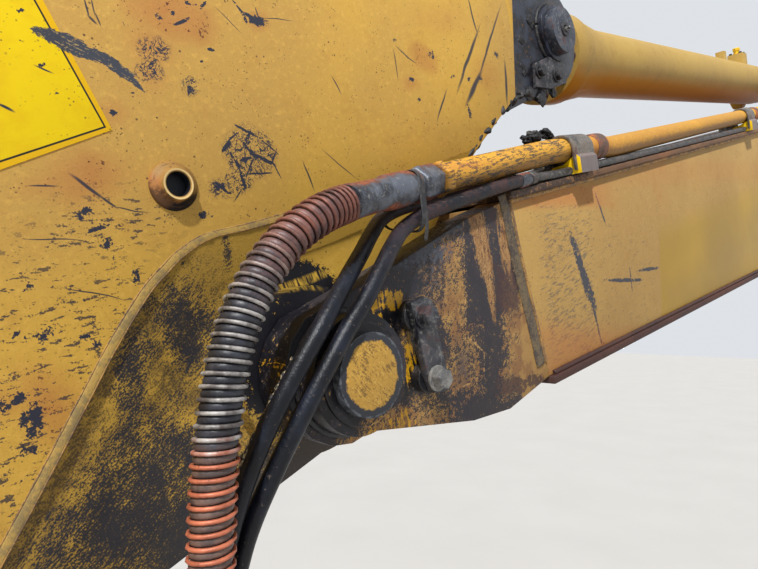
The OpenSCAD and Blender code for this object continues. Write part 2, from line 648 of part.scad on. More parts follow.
boom_side_left();
boom_side_right();
boom_top_plate();
boom_bottom_plate();
boom_foot();
boom_lift_boss();
boom_fork();
arm_cylinder_bracket();
arm_cylinder_pin_ends();
main_pin();
keeper_plate();
boom_pipe();
boom_pipe_clamps();
boom_slim_lines();
arm_side_left();
arm_side_right();
arm_top_plate();
arm_bottom_plate();
arm_hub();
arm_rear_ears();
arm_rear_pin();
arm_tube_boss();
arm_link_boss();
arm_tip_boss();
bucket_cylinder_bracket();
bucket_cylinder_pin_ends();
arm_pipe();
arm_slim_lines();
arm_cylinder_rod();
arm_cylinder_barrel();
arm_cylinder_foot();
arm_cylinder_line();
idler_link_left();
idler_link_right();
idler_pins();
bucket_cylinder_rod();
bucket_cylinder_barrel();
bucket_cylinder_foot();
push_link();
guarded_hose();
slim_hose_front();
slim_hose_rear();
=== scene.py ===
# The digging front of a crawler excavator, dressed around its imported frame: worn ochre paint, grease, bare
# steel, the guarded hose and its two slim neighbours. Metres; X out along the front, Y to the left, Z up.
import math

import bmesh
import bpy
from mathutils import Matrix, Vector, noise


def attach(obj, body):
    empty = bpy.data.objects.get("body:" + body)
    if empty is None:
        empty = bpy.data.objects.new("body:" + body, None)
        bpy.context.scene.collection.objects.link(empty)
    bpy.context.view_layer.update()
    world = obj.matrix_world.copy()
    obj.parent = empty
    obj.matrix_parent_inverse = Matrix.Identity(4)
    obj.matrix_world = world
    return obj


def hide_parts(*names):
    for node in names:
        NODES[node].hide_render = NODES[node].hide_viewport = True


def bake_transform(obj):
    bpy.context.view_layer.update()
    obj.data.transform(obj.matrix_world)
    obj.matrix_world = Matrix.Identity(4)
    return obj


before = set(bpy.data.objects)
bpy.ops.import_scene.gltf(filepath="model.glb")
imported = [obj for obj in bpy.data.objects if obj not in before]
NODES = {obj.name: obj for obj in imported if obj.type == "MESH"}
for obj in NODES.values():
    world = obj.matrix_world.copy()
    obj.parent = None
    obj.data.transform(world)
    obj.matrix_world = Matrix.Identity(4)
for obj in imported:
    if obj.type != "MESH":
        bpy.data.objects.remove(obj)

NOISE_SEED = 7
noise.seed_set(NOISE_SEED)
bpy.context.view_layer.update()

# Places

PIVOT = Vector((5.65, 0, 0))
BOOM_FALL = math.radians(15)
ARM_DROOP = math.radians(24)
BOOM_SIDE = 0.225
ARM_SIDE = 0.165
OUT_ALONG_ARM = Vector((math.cos(ARM_DROOP), 0, -math.sin(ARM_DROOP)))
UP_FROM_ARM = Vector((math.sin(ARM_DROOP), 0, math.cos(ARM_DROOP)))
BACK_ALONG_BOOM = Vector((-math.cos(BOOM_FALL), 0, math.sin(BOOM_FALL)))
UP_FROM_BOOM = Vector((math.sin(BOOM_FALL), 0, math.cos(BOOM_FALL)))


def on_arm(x, z, y=0.0):
    """A point by its place in the arm's own frame, x out from the arm pivot."""
    return PIVOT + OUT_ALONG_ARM * x + UP_FROM_ARM * z + Vector((0, y, 0))


def on_boom(s, n, y=0.0):
    """A point by its distance s back from the arm pivot along the boom, and n above that line."""
    return PIVOT + BACK_ALONG_BOOM * s + UP_FROM_BOOM * n + Vector((0, y, 0))


# Camera

bpy.ops.object.select_all(action="DESELECT")
MIDDLE_X, MIDDLE_Y = 379, 284.5
LENS_IN_PIXELS = 570
LOOKS_UP, HEADING = math.radians(3.6), math.radians(136.5)
eye = Vector((6.059, 0.71, 0.0569))
bpy.ops.object.camera_add(location=eye, rotation=(math.radians(90) + LOOKS_UP, 0, HEADING))
camera = bpy.context.object
camera.name = "photo_camera"
camera.data.sensor_width = 36
camera.data.lens = 27.07
camera.data.clip_start = 0.02
bpy.context.scene.camera = camera
view_turn = camera.rotation_euler.to_matrix()


def seen(x, y, side):
    """The point of the upright plane at that side of the machine which the picture shows at pixel x, y."""
    ray = view_turn @ Vector(((x - MIDDLE_X) / LENS_IN_PIXELS, (MIDDLE_Y - y) / LENS_IN_PIXELS, -1))
    return eye + ray * ((side - eye.y) / ray.y)


# The hoses' routes, as in the part's source

GUARDED_ROUTE = [
    (0.020, 0.037, 0.182), (0.058, 0.040, 0.166), (0.095, 0.041, 0.142), (0.127, 0.041, 0.108),
    (0.150, 0.041, 0.068), (0.164, 0.041, 0.026), (0.172, 0.041, -0.020), (0.177, 0.041, -0.080),
    (0.178, 0.041, -0.150), (0.180, 0.040, -0.230), (0.188, 0.037, -0.315), (0.206, 0.031, -0.400),
    (0.242, 0.023, -0.480), (0.300, 0.013, -0.550), (0.385, 0.003, -0.598), (0.480, -0.007, -0.612),
    (0.575, -0.015, -0.600), (0.655, -0.019, -0.558), (0.710, -0.020, -0.492), (0.743, -0.020, -0.420),
]
SLIM_FRONT_ROUTE = [
    (-0.369, -0.029, 0.279), (-0.260, -0.034, 0.247), (-0.180, -0.038, 0.223), (-0.122, -0.038, 0.203),
    (-0.080, -0.026, 0.183), (-0.044, -0.006, 0.158), (-0.012, 0.013, 0.132), (0.018, 0.028, 0.106),
    (0.046, 0.038, 0.076), (0.073, 0.043, 0.042), (0.106, 0.036, -0.014), (0.130, 0.022, -0.076),
    (0.144, 0.012, -0.130), (0.154, 0.008, -0.180), (0.167, 0.005, -0.240), (0.195, 0.001, -0.312),
    (0.238, -0.005, -0.380), (0.285, -0.013, -0.440), (0.345, -0.021, -0.488), (0.420, -0.029, -0.512),
    (0.500, -0.035, -0.510), (0.570, -0.038, -0.482), (0.618, -0.039, -0.430), (0.647, -0.039, -0.366),
]
SLIM_REAR_ROUTE = [
    (-0.369, 0.005, 0.279), (-0.280, 0.011, 0.250), (-0.190, 0.012, 0.217), (-0.120, 0.013, 0.190),
    (-0.074, 0.020, 0.166), (-0.042, 0.032, 0.141), (-0.016, 0.040, 0.112), (0.011, 0.045, 0.078),
    (0.041, 0.046, 0.041), (0.078, 0.039, -0.021), (0.106, 0.024, -0.084), (0.124, 0.010, -0.138),
    (0.135, 0.001, -0.190), (0.150, -0.006, -0.245), (0.176, -0.018, -0.298), (0.215, -0.027, -0.346),
    (0.266, -0.030, -0.396), (0.325, -0.036, -0.436), (0.395, -0.039, -0.460), (0.465, -0.039, -0.458),
    (0.530, -0.039, -0.436), (0.578, -0.039, -0.396), (0.603, -0.039, -0.342),
]


def routed(route):
    """A route's points in the frame; they are written from the arm pivot at the boom's left side plate."""
    return [PIVOT + Vector((x, BOOM_SIDE + y, z)) for x, y, z in route]


def smoothed(points, steps=8):
    """The points of a smooth line through the given ones."""
    line = []
    last = len(points) - 1
    for i in range(last):
        a, b, c, d = (points[max(0, min(last, i + k))] for k in (-1, 0, 1, 2))
        for k in range(steps):
            t = k / steps
            line.append(0.5 * (2 * b + (c - a) * t + (2 * a - 5 * b + 4 * c - d) * t**2
                               + (3 * b - a - 3 * c + d) * t**3))
    line.append(points[-1].copy())
    return line


def length_of(points):
    return sum((b - a).length for a, b in zip(points, points[1:]))


def pixel(point):
    """Where the picture shows a point."""
    away = view_turn.transposed() @ (point - eye)
    return MIDDLE_X - LENS_IN_PIXELS * away.x / away.z, MIDDLE_Y + LENS_IN_PIXELS * away.y / away.z


# Meshes

def new_piece(name, verts, faces):
    mesh = bpy.data.meshes.new(name)
    mesh.from_pydata([tuple(v) for v in verts], [], faces)
    mesh.validate()
    piece = bpy.data.objects.new(name, mesh)
    bpy.context.scene.collection.objects.link(piece)
    for face in mesh.polygons:
        face.use_smooth = len(face.vertices) < 5
    return piece


def frames_along(points):
    """For each point of a line: the line's direction and two directions across it that don't twist."""
    out = []
    across = None
    for i, p in enumerate(points):
        ahead = (points[min(i + 1, len(points) - 1)] - points[max(i - 1, 0)]).normalized()
        if across is None:
            across = ahead.cross(Vector((0, 1, 0)))
            if across.length < 0.05:
                across = ahead.cross(Vector((0, 0, 1)))
        across = (across - ahead * across.dot(ahead)).normalized()
        out.append((p, ahead, across, ahead.cross(across)))
    return out


def runs_of(points):
    """Each point's distance from the line's start."""
    runs = [0.0]
    for a, b in zip(points, points[1:]):
        runs.append(runs[-1] + (b - a).length)
    return runs


def swept(name, points, radius, sides=16, flat=1.0, runs=None):
    """A bar along a line of points. radius is a number, one for each point, or one for each corner of
    each point's section, and flat squeezes the section along its second direction. The mesh keeps two
    attributes for its finish: along, the distance from the line's start, and rest, the place at rest."""
    n = len(points)
    radii = radius if hasattr(radius, "__len__") else [radius] * n
    verts, along = [], []
    for ring, run, (p, _, u, v) in zip(radii, runs or runs_of(points), frames_along(points)):
        for k in range(sides):
            turn = 2 * math.pi * k / sides
            wide = ring[k] if hasattr(ring, "__len__") else ring
            verts.append(p + wide * (math.cos(turn) * u + flat * math.sin(turn) * v))
            along.append(run)
    quads = [(row, k, (k + 1) % sides) for row in range(0, (n - 1) * sides, sides) for k in range(sides)]
    faces = [(row + k, row + after, row + sides + after, row + sides + k) for row, k, after in quads]
    faces += [tuple(range(sides - 1, -1, -1)), tuple((n - 1) * sides + k for k in range(sides))]
    piece = new_piece(name, verts, faces)
    rest = piece.data.attributes.new("rest", "FLOAT_VECTOR", "POINT")
    rest.data.foreach_set("vector", [c for v in piece.data.vertices for c in v.co])
    piece.data.attributes.new("along", "FLOAT", "POINT").data.foreach_set("value", along)
    return piece


def spaced(points, step):
    """The points of the same line at an even distance."""
    out = [points[0].copy()]
    left = step
    for a, b in zip(points, points[1:]):
        leg = (b - a).length
        at = left
        while at < leg:
            out.append(a.lerp(b, at / leg))
            at += step
        left = at - leg
    return out


def finish_piece(piece, body, material, replaces=()):
    """Rides a piece on its body and gives it its finish."""
    piece.data.materials.clear()
    piece.data.materials.append(material)
    if replaces:
        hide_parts(*replaces)
    if body:
        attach(piece, body)
    return piece


def only(piece):
    bpy.ops.object.select_all(action="DESELECT")
    piece.select_set(True)
    bpy.context.view_layer.objects.active = piece


def rounded_edges(piece, width, angle=30, segments=2, smooth=40):
    """Bevels the edges that turn by more than the angle, in degrees, and smooths the gentler ones."""
    only(piece)
    bevel = piece.modifiers.new("edges", "BEVEL")
    bevel.width = width
    bevel.segments = segments
    bevel.limit_method = "ANGLE"
    bevel.angle_limit = math.radians(angle)
    bevel.use_clamp_overlap = True
    bpy.ops.object.modifier_apply(modifier="edges")
    bpy.ops.object.shade_smooth_by_angle(angle=math.radians(smooth))
    return piece


def eased(node, name, width, angle=30, segments=2):
    """A copy of a CAD node with its edges rounded."""
    piece = NODES[node].copy()
    piece.data = NODES[node].data.copy()
    piece.name = piece.data.name = name
    for key in list(piece.keys()):
        del piece[key]
    piece.parent = None
    piece.matrix_world = Matrix.Identity(4)
    bpy.context.scene.collection.objects.link(piece)
    mesh = bmesh.new()
    mesh.from_mesh(piece.data)
    bmesh.ops.remove_doubles(mesh, verts=mesh.verts, dist=0.00002)
    bmesh.ops.dissolve_limit(mesh, angle_limit=math.radians(0.5), verts=mesh.verts, edges=mesh.edges)
    mesh.to_mesh(piece.data)
    mesh.free()
    return rounded_edges(piece, width, angle, segments)


def set_in(piece, at, axis, spin=0.0):
    """Moves a piece made at the origin along Z to its place, in its mesh."""
    turn = Vector(axis).to_track_quat("Z", "Y").to_matrix().to_4x4()
    piece.data.transform(Matrix.Translation(at) @ turn @ Matrix.Rotation(spin, 4, "Z") @ piece.matrix_basis)
    piece.matrix_basis = Matrix.Identity(4)
    return piece


def turned(name, profile, sides=40):
    """A solid turned about Z at the origin: a disc that is pulled up and drawn in or out, step by step.
    profile lists radius and height in millimetres, from the first face to the last."""
    bpy.ops.object.select_all(action="DESELECT")
    (radius, height), *steps = [(wide / 1000, high / 1000) for wide, high in profile]
    bpy.ops.mesh.primitive_circle_add(vertices=sides, radius=radius, fill_type="NGON",
                                      location=(0, 0, height))
    piece = bpy.context.object
    piece.name = piece.data.name = name
    bpy.ops.object.mode_set(mode="EDIT")
    bpy.ops.mesh.select_all(action="SELECT")
    for wide, high in steps:
        bpy.ops.mesh.extrude_region_move(TRANSFORM_OT_translate={"value": (0, 0, high - height)})
        bpy.ops.transform.resize(value=(wide / radius, wide / radius, 1), center_override=(0, 0, high))
        radius, height = wide, high
    bpy.ops.mesh.select_all(action="SELECT")
    bpy.ops.mesh.normals_make_consistent(inside=False)
    bpy.ops.object.mode_set(mode="OBJECT")
    return piece


def smooth_by_angle(piece, angle):
    only(piece)
    bpy.ops.object.shade_smooth_by_angle(angle=math.radians(angle))


def stood(name, profile, at, axis, body, material, sides=48, smooth=35, replaces=()):
    """A turned piece at its place, with its finish. Without an angle for smooth it keeps flat faces."""
    piece = set_in(turned(name, profile, sides), at, axis)
    if smooth:
        smooth_by_angle(piece, smooth)
    return finish_piece(piece, body, material, replaces)


def hex_piece(name, profile, at, axis, spin, edge, segments, body, material):
    """A turned piece with six sides and rounded edges."""
    piece = rounded_edges(set_in(turned(name, profile, 6), at, axis, spin), edge, 20, segments)
    return finish_piece(piece, body, material)


def joined(name, pieces):
    bpy.ops.object.select_all(action="DESELECT")
    for piece in pieces:
        piece.select_set(True)
    bpy.context.view_layer.objects.active = pieces[0]
    bpy.ops.object.join()
    pieces[0].name = pieces[0].data.name = name
    return pieces[0]


def cut_plate(name, outline, thickness, edge=0.0015):
    """A flat plate with eased edges, from an outline in x and y, standing on the origin's plane."""
    curve = bpy.data.curves.new(name, "CURVE")
    curve.dimensions = "2D"
    curve.fill_mode = "BOTH"
    curve.extrude = thickness / 2 - edge
    curve.bevel_depth = edge
    curve.bevel_resolution = 1
    curve.offset = -edge
    line = curve.splines.new("POLY")
    line.points.add(len(outline) - 1)
    for point, (x, y) in zip(line.points, outline):
        point.co = (x, y, 0, 1)
    line.use_cyclic_u = True
    piece = bpy.data.objects.new(name, curve)
    bpy.context.scene.collection.objects.link(piece)
    only(piece)
    bpy.ops.object.convert(target="MESH")
    piece = bpy.context.object
    piece.location.z = thickness / 2
    bpy.ops.object.mode_set(mode="EDIT")
    bpy.ops.mesh.select_all(action="SELECT")
    bpy.ops.mesh.remove_doubles(threshold=0.00002)
    bpy.ops.mesh.normals_make_consistent(inside=False)
    bpy.ops.object.mode_set(mode="OBJECT")
    bpy.ops.object.shade_smooth_by_angle(angle=math.radians(35))
    return piece


def facing(piece, origin, across, up, out):
    """Stands a piece made flat at the origin on a surface: its x along across, its y along up, its z out."""
    turn = Matrix((across, up, out)).transposed().to_4x4()
    piece.data.transform(Matrix.Translation(origin) @ turn @ piece.matrix_basis)
    piece.matrix_basis = Matrix.Identity(4)
    if Vector(across).cross(Vector(up)).dot(Vector(out)) < 0:
        piece.data.flip_normals()
    return piece


def lump(name, at, size, seed, squash=(1, 1, 1)):
    """A blob of thick grease."""
    bpy.ops.object.select_all(action="DESELECT")
    bpy.ops.mesh.primitive_ico_sphere_add(subdivisions=4, radius=1, location=(0, 0, 0))
    piece = bpy.context.object
    piece.name = piece.data.name = name
    for v in piece.data.vertices:
        rise = noise.fractal(v.co * 1.3 + Vector((seed, seed * 2, 0)), 0.8, 2.0, 4)
        v.co *= 1 + 0.45 * rise
    piece.data.transform(Matrix.Translation(at) @ Matrix.Diagonal((*[size * k for k in squash], 1)))
    for face in piece.data.polygons:
        face.use_smooth = True
    return piece


# Shader maths

def rgb(red, green, blue):
    """A colour as a picture shows it, 0 to 255, in the shader's linear values."""
    out = []
    for c in (red / 255, green / 255, blue / 255):
        out.append(c / 12.92 if c <= 0.04045 else ((c + 0.055) / 1.055) ** 2.4)
    return (*out, 1.0)


class Value:
    """A number that changes over a surface. Sums and products of values add their Math nodes."""

    def __init__(self, home, socket):
        self.home, self.socket = home, socket

    def maths(self, operation, *others, first=None):
        terms = [self if first is None else first, *others]
        return self.home.node("ShaderNodeMath", {"operation": operation}, dict(enumerate(terms)))

    def __add__(self, other):
        return self.maths("ADD", other)

    def __sub__(self, other):
        return self.maths("SUBTRACT", other)

    def __rsub__(self, other):
        return self.maths("SUBTRACT", self, first=other)

    def __mul__(self, other):
        return self.maths("MULTIPLY", other)

    __radd__, __rmul__ = __add__, __mul__

    def most(self, other):
        return self.maths("MAXIMUM", other)

    def least(self, other):
        return self.maths("MINIMUM", other)

    def absolute(self):
        return self.maths("ABSOLUTE")

    def ramp(self, low, high):
        """0 below low and 1 above high, eased at both ends; low may be the larger."""
        return self.home.node("ShaderNodeMapRange", {"interpolation_type": "SMOOTHSTEP"},
                              {0: self, 1: low, 2: high, 3: 0.0, 4: 1.0})


class Nodes:
    """The nodes of a material or of the world."""

    def __init__(self, tree):
        self.tree = tree

    def node(self, kind, settings, sockets, out=0):
        """Adds a node: its settings first, then a value or link for each socket. Gives one output."""
        node = self.tree.nodes.new(kind)
        for key, value in settings.items():
            setattr(node, key, value)
        for key, value in sockets.items():
            if isinstance(value, Value):
                self.tree.links.new(value.socket, node.inputs[key])
            else:
                node.inputs[key].default_value = value
        return Value(self, node.outputs[out])


class Paint(Nodes):
    """One material and the nodes in it."""

    def __init__(self, name):
        self.material = bpy.data.materials.new(name)
        self.material.use_nodes = True
        super().__init__(self.material.node_tree)
        self.shader = self.tree.nodes["Principled BSDF"]
        self.place = self.node("ShaderNodeTexCoord", {}, {}, out="Object")

    def attribute(self, name, out="Fac"):
        return self.node("ShaderNodeAttribute", {"attribute_name": name}, {}, out=out)

    def vectors(self, operation, *terms, out=0):
        """A Vector Math node; its second output is the number that some of its operations give."""
        return self.node("ShaderNodeVectorMath", {"operation": operation}, dict(enumerate(terms)), out)

    def length(self, vector, factors=(1.0, 1.0, 0.0)):
        """A vector's length, after each of its parts is multiplied by its factor."""
        return self.vectors("LENGTH", self.vectors("MULTIPLY", vector, factors), out=1)

    def noise(self, vector, scale, detail=4.0, roughness=0.55, distortion=0.0, out=0):
        return self.node("ShaderNodeTexNoise", {}, {
            "Vector": vector, "Scale": scale, "Detail": detail, "Roughness": roughness,
            "Distortion": distortion}, out)

    def cells(self, vector, scale):
        return self.node("ShaderNodeTexVoronoi", {}, {"Vector": vector, "Scale": scale})

    def mixed(self, share, first, second):
        return self.node("ShaderNodeMix", {"data_type": "RGBA"}, {0: share, 6: first, 7: second}, out=2)

    def warped(self, vector, scale, amount, detail=3.0):
        """The vector pushed about by noise, by up to half the amount each way."""
        push = self.vectors("SUBTRACT", self.noise(vector, scale, detail, out=1), (0.5, 0.5, 0.5))
        return self.vectors("MULTIPLY_ADD", push, (amount, amount, amount), vector)

    def along(self, direction, origin):
        """The distance of a point from origin, measured along a direction."""
        away = self.vectors("SUBTRACT", self.place, tuple(origin))
        return self.vectors("DOT_PRODUCT", away, tuple(direction), out=1)

    def flat(self, u_direction, v_direction):
        """The surface's own two directions as a vector, with the side of the boom or arm as the third."""
        return self.node("ShaderNodeCombineXYZ", {}, {
            0: self.along(u_direction, PIVOT), 1: self.along(v_direction, PIVOT),
            2: self.along((0, 1, 0), PIVOT)})

    def normal(self):
        """The direction that the surface faces."""
        return self.node("ShaderNodeTexCoord", {}, {}, out="Normal")

    def spot(self, vector, u, v, wide, high, turn=0.0, soft=0.35, square=False):
        """A mask of an ellipse, or of a rectangle, on a flat vector: 1 inside, 0 outside. Sizes are half
        widths, turn is in degrees."""
        away = self.vectors("SUBTRACT", vector, (u, v, 0))
        if not (square or turn):
            return self.length(away, (1 / wide, 1 / high, 0)).ramp(1 + soft, 1 - soft)
        c, s = math.cos(math.radians(turn)), math.sin(math.radians(turn))
        across, up = (self.vectors("DOT_PRODUCT", away, axis, out=1)
                      for axis in ((c / wide, s / wide, 0), (-s / high, c / high, 0)))
        if square:
            return across.absolute().most(up.absolute()).ramp(1 + soft, 1 - soft)
        return (across * across + up * up).ramp((1 + soft) ** 2, (1 - soft) ** 2)

    def spots(self, vector, rows, soft=0.35, square=False):
        """Several of them in one mask. Each row is u, v, half width, half height, turn and strength."""
        total = None
        for u, v, wide, high, turn, strength in rows:
            one = self.spot(vector, u, v, wide, high, turn, soft, square)
            one = one if strength == 1 else one * strength
            total = one if total is None else total.most(one)
        return total

    def bump(self, height, distance, strength=1.0):
        return self.node("ShaderNodeBump", {}, {"Height": height, "Distance": distance, "Strength": strength})

    def finish(self, colour, roughness, metallic=None, normal=None):
        """Feeds the surface. A number stays on the shader's own socket."""
        for key, value in (("Base Color", colour), ("Roughness", roughness), ("Metallic", metallic),
                           ("Normal", normal)):
            if isinstance(value, Value):
                self.tree.links.new(value.socket, self.shader.inputs[key])
            elif value is not None:
                self.shader.inputs[key].default_value = value
        return self.material


# Finishes

OCHRE = rgb(216, 170, 70)
TAN = rgb(194, 152, 76)
RUST = rgb(176, 106, 60)
DARK_RUST = rgb(78, 40, 36)
MARK = rgb(46, 48, 62)
GREASE = rgb(22, 21, 26)
SLATE = rgb(66, 69, 76)
SOIL = rgb(54, 49, 52)
DUST = rgb(190, 160, 112)
ARM_AXES = (OUT_ALONG_ARM, UP_FROM_ARM)
BOOM_AXES = (BACK_ALONG_BOOM, UP_FROM_BOOM)


def tinted(colour, red, green, blue):
    """A colour with each of its channels made stronger or weaker."""
    return (*(min(1, part * share) for part, share in zip(colour, (red, green, blue))), 1.0)


def turn_of(flat):
    """The angle of a direction on the flank, in degrees."""
    return math.degrees(math.atan2(flat.y, flat.x))


class Worn:
    """Ochre paint as sun and work have left it. It holds the colour, roughness and height built so far.
    axes are the two directions of a flank, and side is the plane that the picture's pixels are laid on."""

    def __init__(self, name, axes=None, side=ARM_SIDE, bright=OCHRE, faded=TAN, wear=0.5):
        self.p = p = Paint(name)
        self.axes, self.side = axes, side
        self.flat = p.flat(*axes) if axes else p.place
        self.ragged = p.warped(self.flat, 60, 0.01)
        self.wavy = p.warped(self.flat, 26, 0.006, 1)
        self.large = p.noise(self.flat, 2.3, 3)
        self.cloud = p.noise(self.flat, 34, 4, 0.62)
        self.fine = p.noise(self.flat, 150, 4, 0.7)
        self.grain = p.noise(self.flat, 520, 2, 0.6)
        self.broken = (self.fine - 0.5) * 2.4 + (self.grain - 0.5) * 1.3 + (self.cloud - 0.5) * 1.2
        self.near = p.along((0, 1, 0), PIVOT).ramp(0.0, 0.04)
        self.colour = p.mixed(self.large.ramp(0.36, 0.66), bright, faded)
        for share, colour in (
                (self.cloud.ramp(0.5, 0.8) * 0.35, tinted(faded, 0.8, 0.66, 0.6)),
                (self.fine.ramp(0.5, 0.72) * 0.35, tinted(bright, 1.25, 1.3, 1.8)),
                (self.grain.ramp(0.56, 0.7) * 0.22, tinted(faded, 0.45, 0.4, 0.45))):
            self.colour = p.mixed(share, self.colour, colour)
        self.roughness = 0.5 + self.cloud * 0.2
        self.height = self.fine * 0.3 + self.grain * 0.12
        p.shader.inputs["Specular IOR Level"].default_value = 0.3
        self.stains(wear)
        self.specks(wear)

    def stains(self, amount):
        """A few broad rust stains and dusty places."""
        broad = self.p.noise(self.flat, 1.7, 4, 0.6)
        self.rust(broad.ramp(0.68 - amount * 0.06, 0.8) * 0.7)
        self.lay(broad.ramp(0.42, 0.28) * self.cloud.ramp(0.45, 0.7) * 0.3, DUST, 0.8)

    def specks(self, amount):
        """Pin-head chips, and short marks that lie three ways."""
        p = self.p
        for scale, low, seed in ((120, 0.1, 24), (230, 0.13, 51)):
            dots = p.cells(self.flat, scale)
            where = p.noise(self.flat, seed, 2).ramp(0.58 - amount * 0.16, 0.66)
            self.lay(dots.ramp(low + 0.09, low) * where * 0.85, rgb(66, 46, 42), 0.6)
        for turn, seed in ((35, 3.1), (-50, 7.7), (80, 5.3)):
            marks = p.noise(self.lined(turn, 0.02, 0.0024, seed), 1.0, 2)
            self.lay(marks.ramp(0.8 - amount * 0.06, 0.84 - amount * 0.06) * 0.85, MARK, 0.55)

    def at(self, x, y):
        """A pixel's place on the flank, along its two directions."""
        away = seen(x, y, self.side) - PIVOT
        return Vector((away.dot(self.axes[0]), away.dot(self.axes[1])))

    def patches(self, rows, soft=0.5, vector=None, size=1.0):
        """Placed ellipses in one mask. Each row is its pixel x and y and its half width and height in
        millimetres, and where it isn't level or full, also its turn and its strength."""
        places = []
        for x, y, wide, high, *rest in rows:
            turn, strength = (*rest, *(0, 1.0)[len(rest):])
            places.append((*self.at(x, y), size * wide / 1000, size * high / 1000, turn, strength))
        return self.p.spots(vector or self.ragged, places, soft)

    def boxes(self, rows, soft=0.3, vector=None):
        """Placed blocks in one mask: the pixels x0, y0, x1, y1 that each one spans, and its strength."""
        places = []
        for x0, y0, x1, y1, strength in rows:
            xm, ym = (x0 + x1) / 2, (y0 + y1) / 2
            across = (self.at(x1, ym) - self.at(x0, ym)) / 2
            up = (self.at(xm, y1) - self.at(xm, y0)) / 2
            places.append((*self.at(xm, ym), across.length, up.length, turn_of(across), strength))
        return self.p.spots(vector or self.ragged, places, soft, True)

    def strokes(self, rows, soft=0.5, vector=None):
        """Placed scratches in one mask: from pixel x, y to pixel x, y, and a half width in millimetres."""
        places = []
        for x0, y0, x1, y1, half in rows:
            a, b = self.at(x0, y0), self.at(x1, y1)
            reach = (b - a).length / 2 + half / 1000
            places.append((*((a + b) / 2), reach, half / 1000, turn_of(b - a), 1.0))
        return self.p.spots(vector or self.wavy, places, soft)

    def torn(self, mask, low=0.42, high=0.58):
        """The mask with its edge broken into grains by the paint's own texture."""
        return (mask + self.broken).ramp(low, high) * mask.ramp(0.02, 0.22)

    def squiggles(self, scale, thickness, seed=0.0):
        """Thin wandering lines."""
        line = (self.p.noise(self.ragged, scale, 2, distortion=1.2 + seed) - 0.5).absolute()
        return line.ramp(thickness, thickness * 0.4)

    def lined(self, turn, length, width, seed=0.0):
        """The flank's place, drawn out along a direction of it."""
        return self.p.node("ShaderNodeMapping", {"vector_type": "TEXTURE"}, {
            "Vector": self.wavy, "Location": (seed, seed, 0), "Rotation": (0, 0, math.radians(turn)),
            "Scale": (length, width, 1.0)})

    def streaks(self, turn, length, width):
        """Noise drawn out along a direction of the flank."""
        return self.p.noise(self.lined(turn, length, width), 1.0, 4, 0.65)

    def lay(self, mask, colour, roughness=None):
        """Lays a colour over the masked places."""
        self.colour = self.p.mixed(mask, self.colour, colour)
        if roughness is not None:
            self.roughness = self.roughness * (1 - mask) + mask * roughness

    def rust(self, mask):
        """Brown stain with broken dark cores."""
        self.lay((mask * 0.62 + self.broken * mask * 0.25).least(1.0).most(0.0) * 0.85, RUST, 0.7)
        cores = (self.fine + self.grain * 0.4 + self.cloud * 0.4).ramp(1.04, 1.1)
        self.lay(cores * mask.ramp(0.3, 0.8), DARK_RUST, 0.75)

    def done(self, bump=0.0014):
        return self.p.finish(self.colour, self.roughness, None, self.p.bump(self.height, bump, 0.7))


def lay_smear(w):
    """The torn dark smear that crosses the decal's edge."""
    upper_end, lower_end = (38, 32), (134, 80)
    lines = w.streaks(turn_of(w.at(*lower_end) - w.at(*upper_end)), 0.02, 0.002)
    path = [(40, 33, 98, 56, 6.5), (84, 49, 128, 74, 6.0), (116, 68, 140, 87, 2.6)]
    mask = w.strokes(path, 0.45, w.ragged) * w.near
    torn = (mask + w.broken * 0.5 + (lines - 0.5) * 1.4).ramp(0.36, 0.56)
    w.lay(torn * mask.ramp(0.03, 0.25), rgb(64, 66, 75), 0.5)
    pale = (lines + (w.grain - 0.5) * 0.6).ramp(0.58, 0.66)
    w.lay(pale * mask.ramp(0.3, 0.8) * 0.75, rgb(176, 150, 96), 0.5)


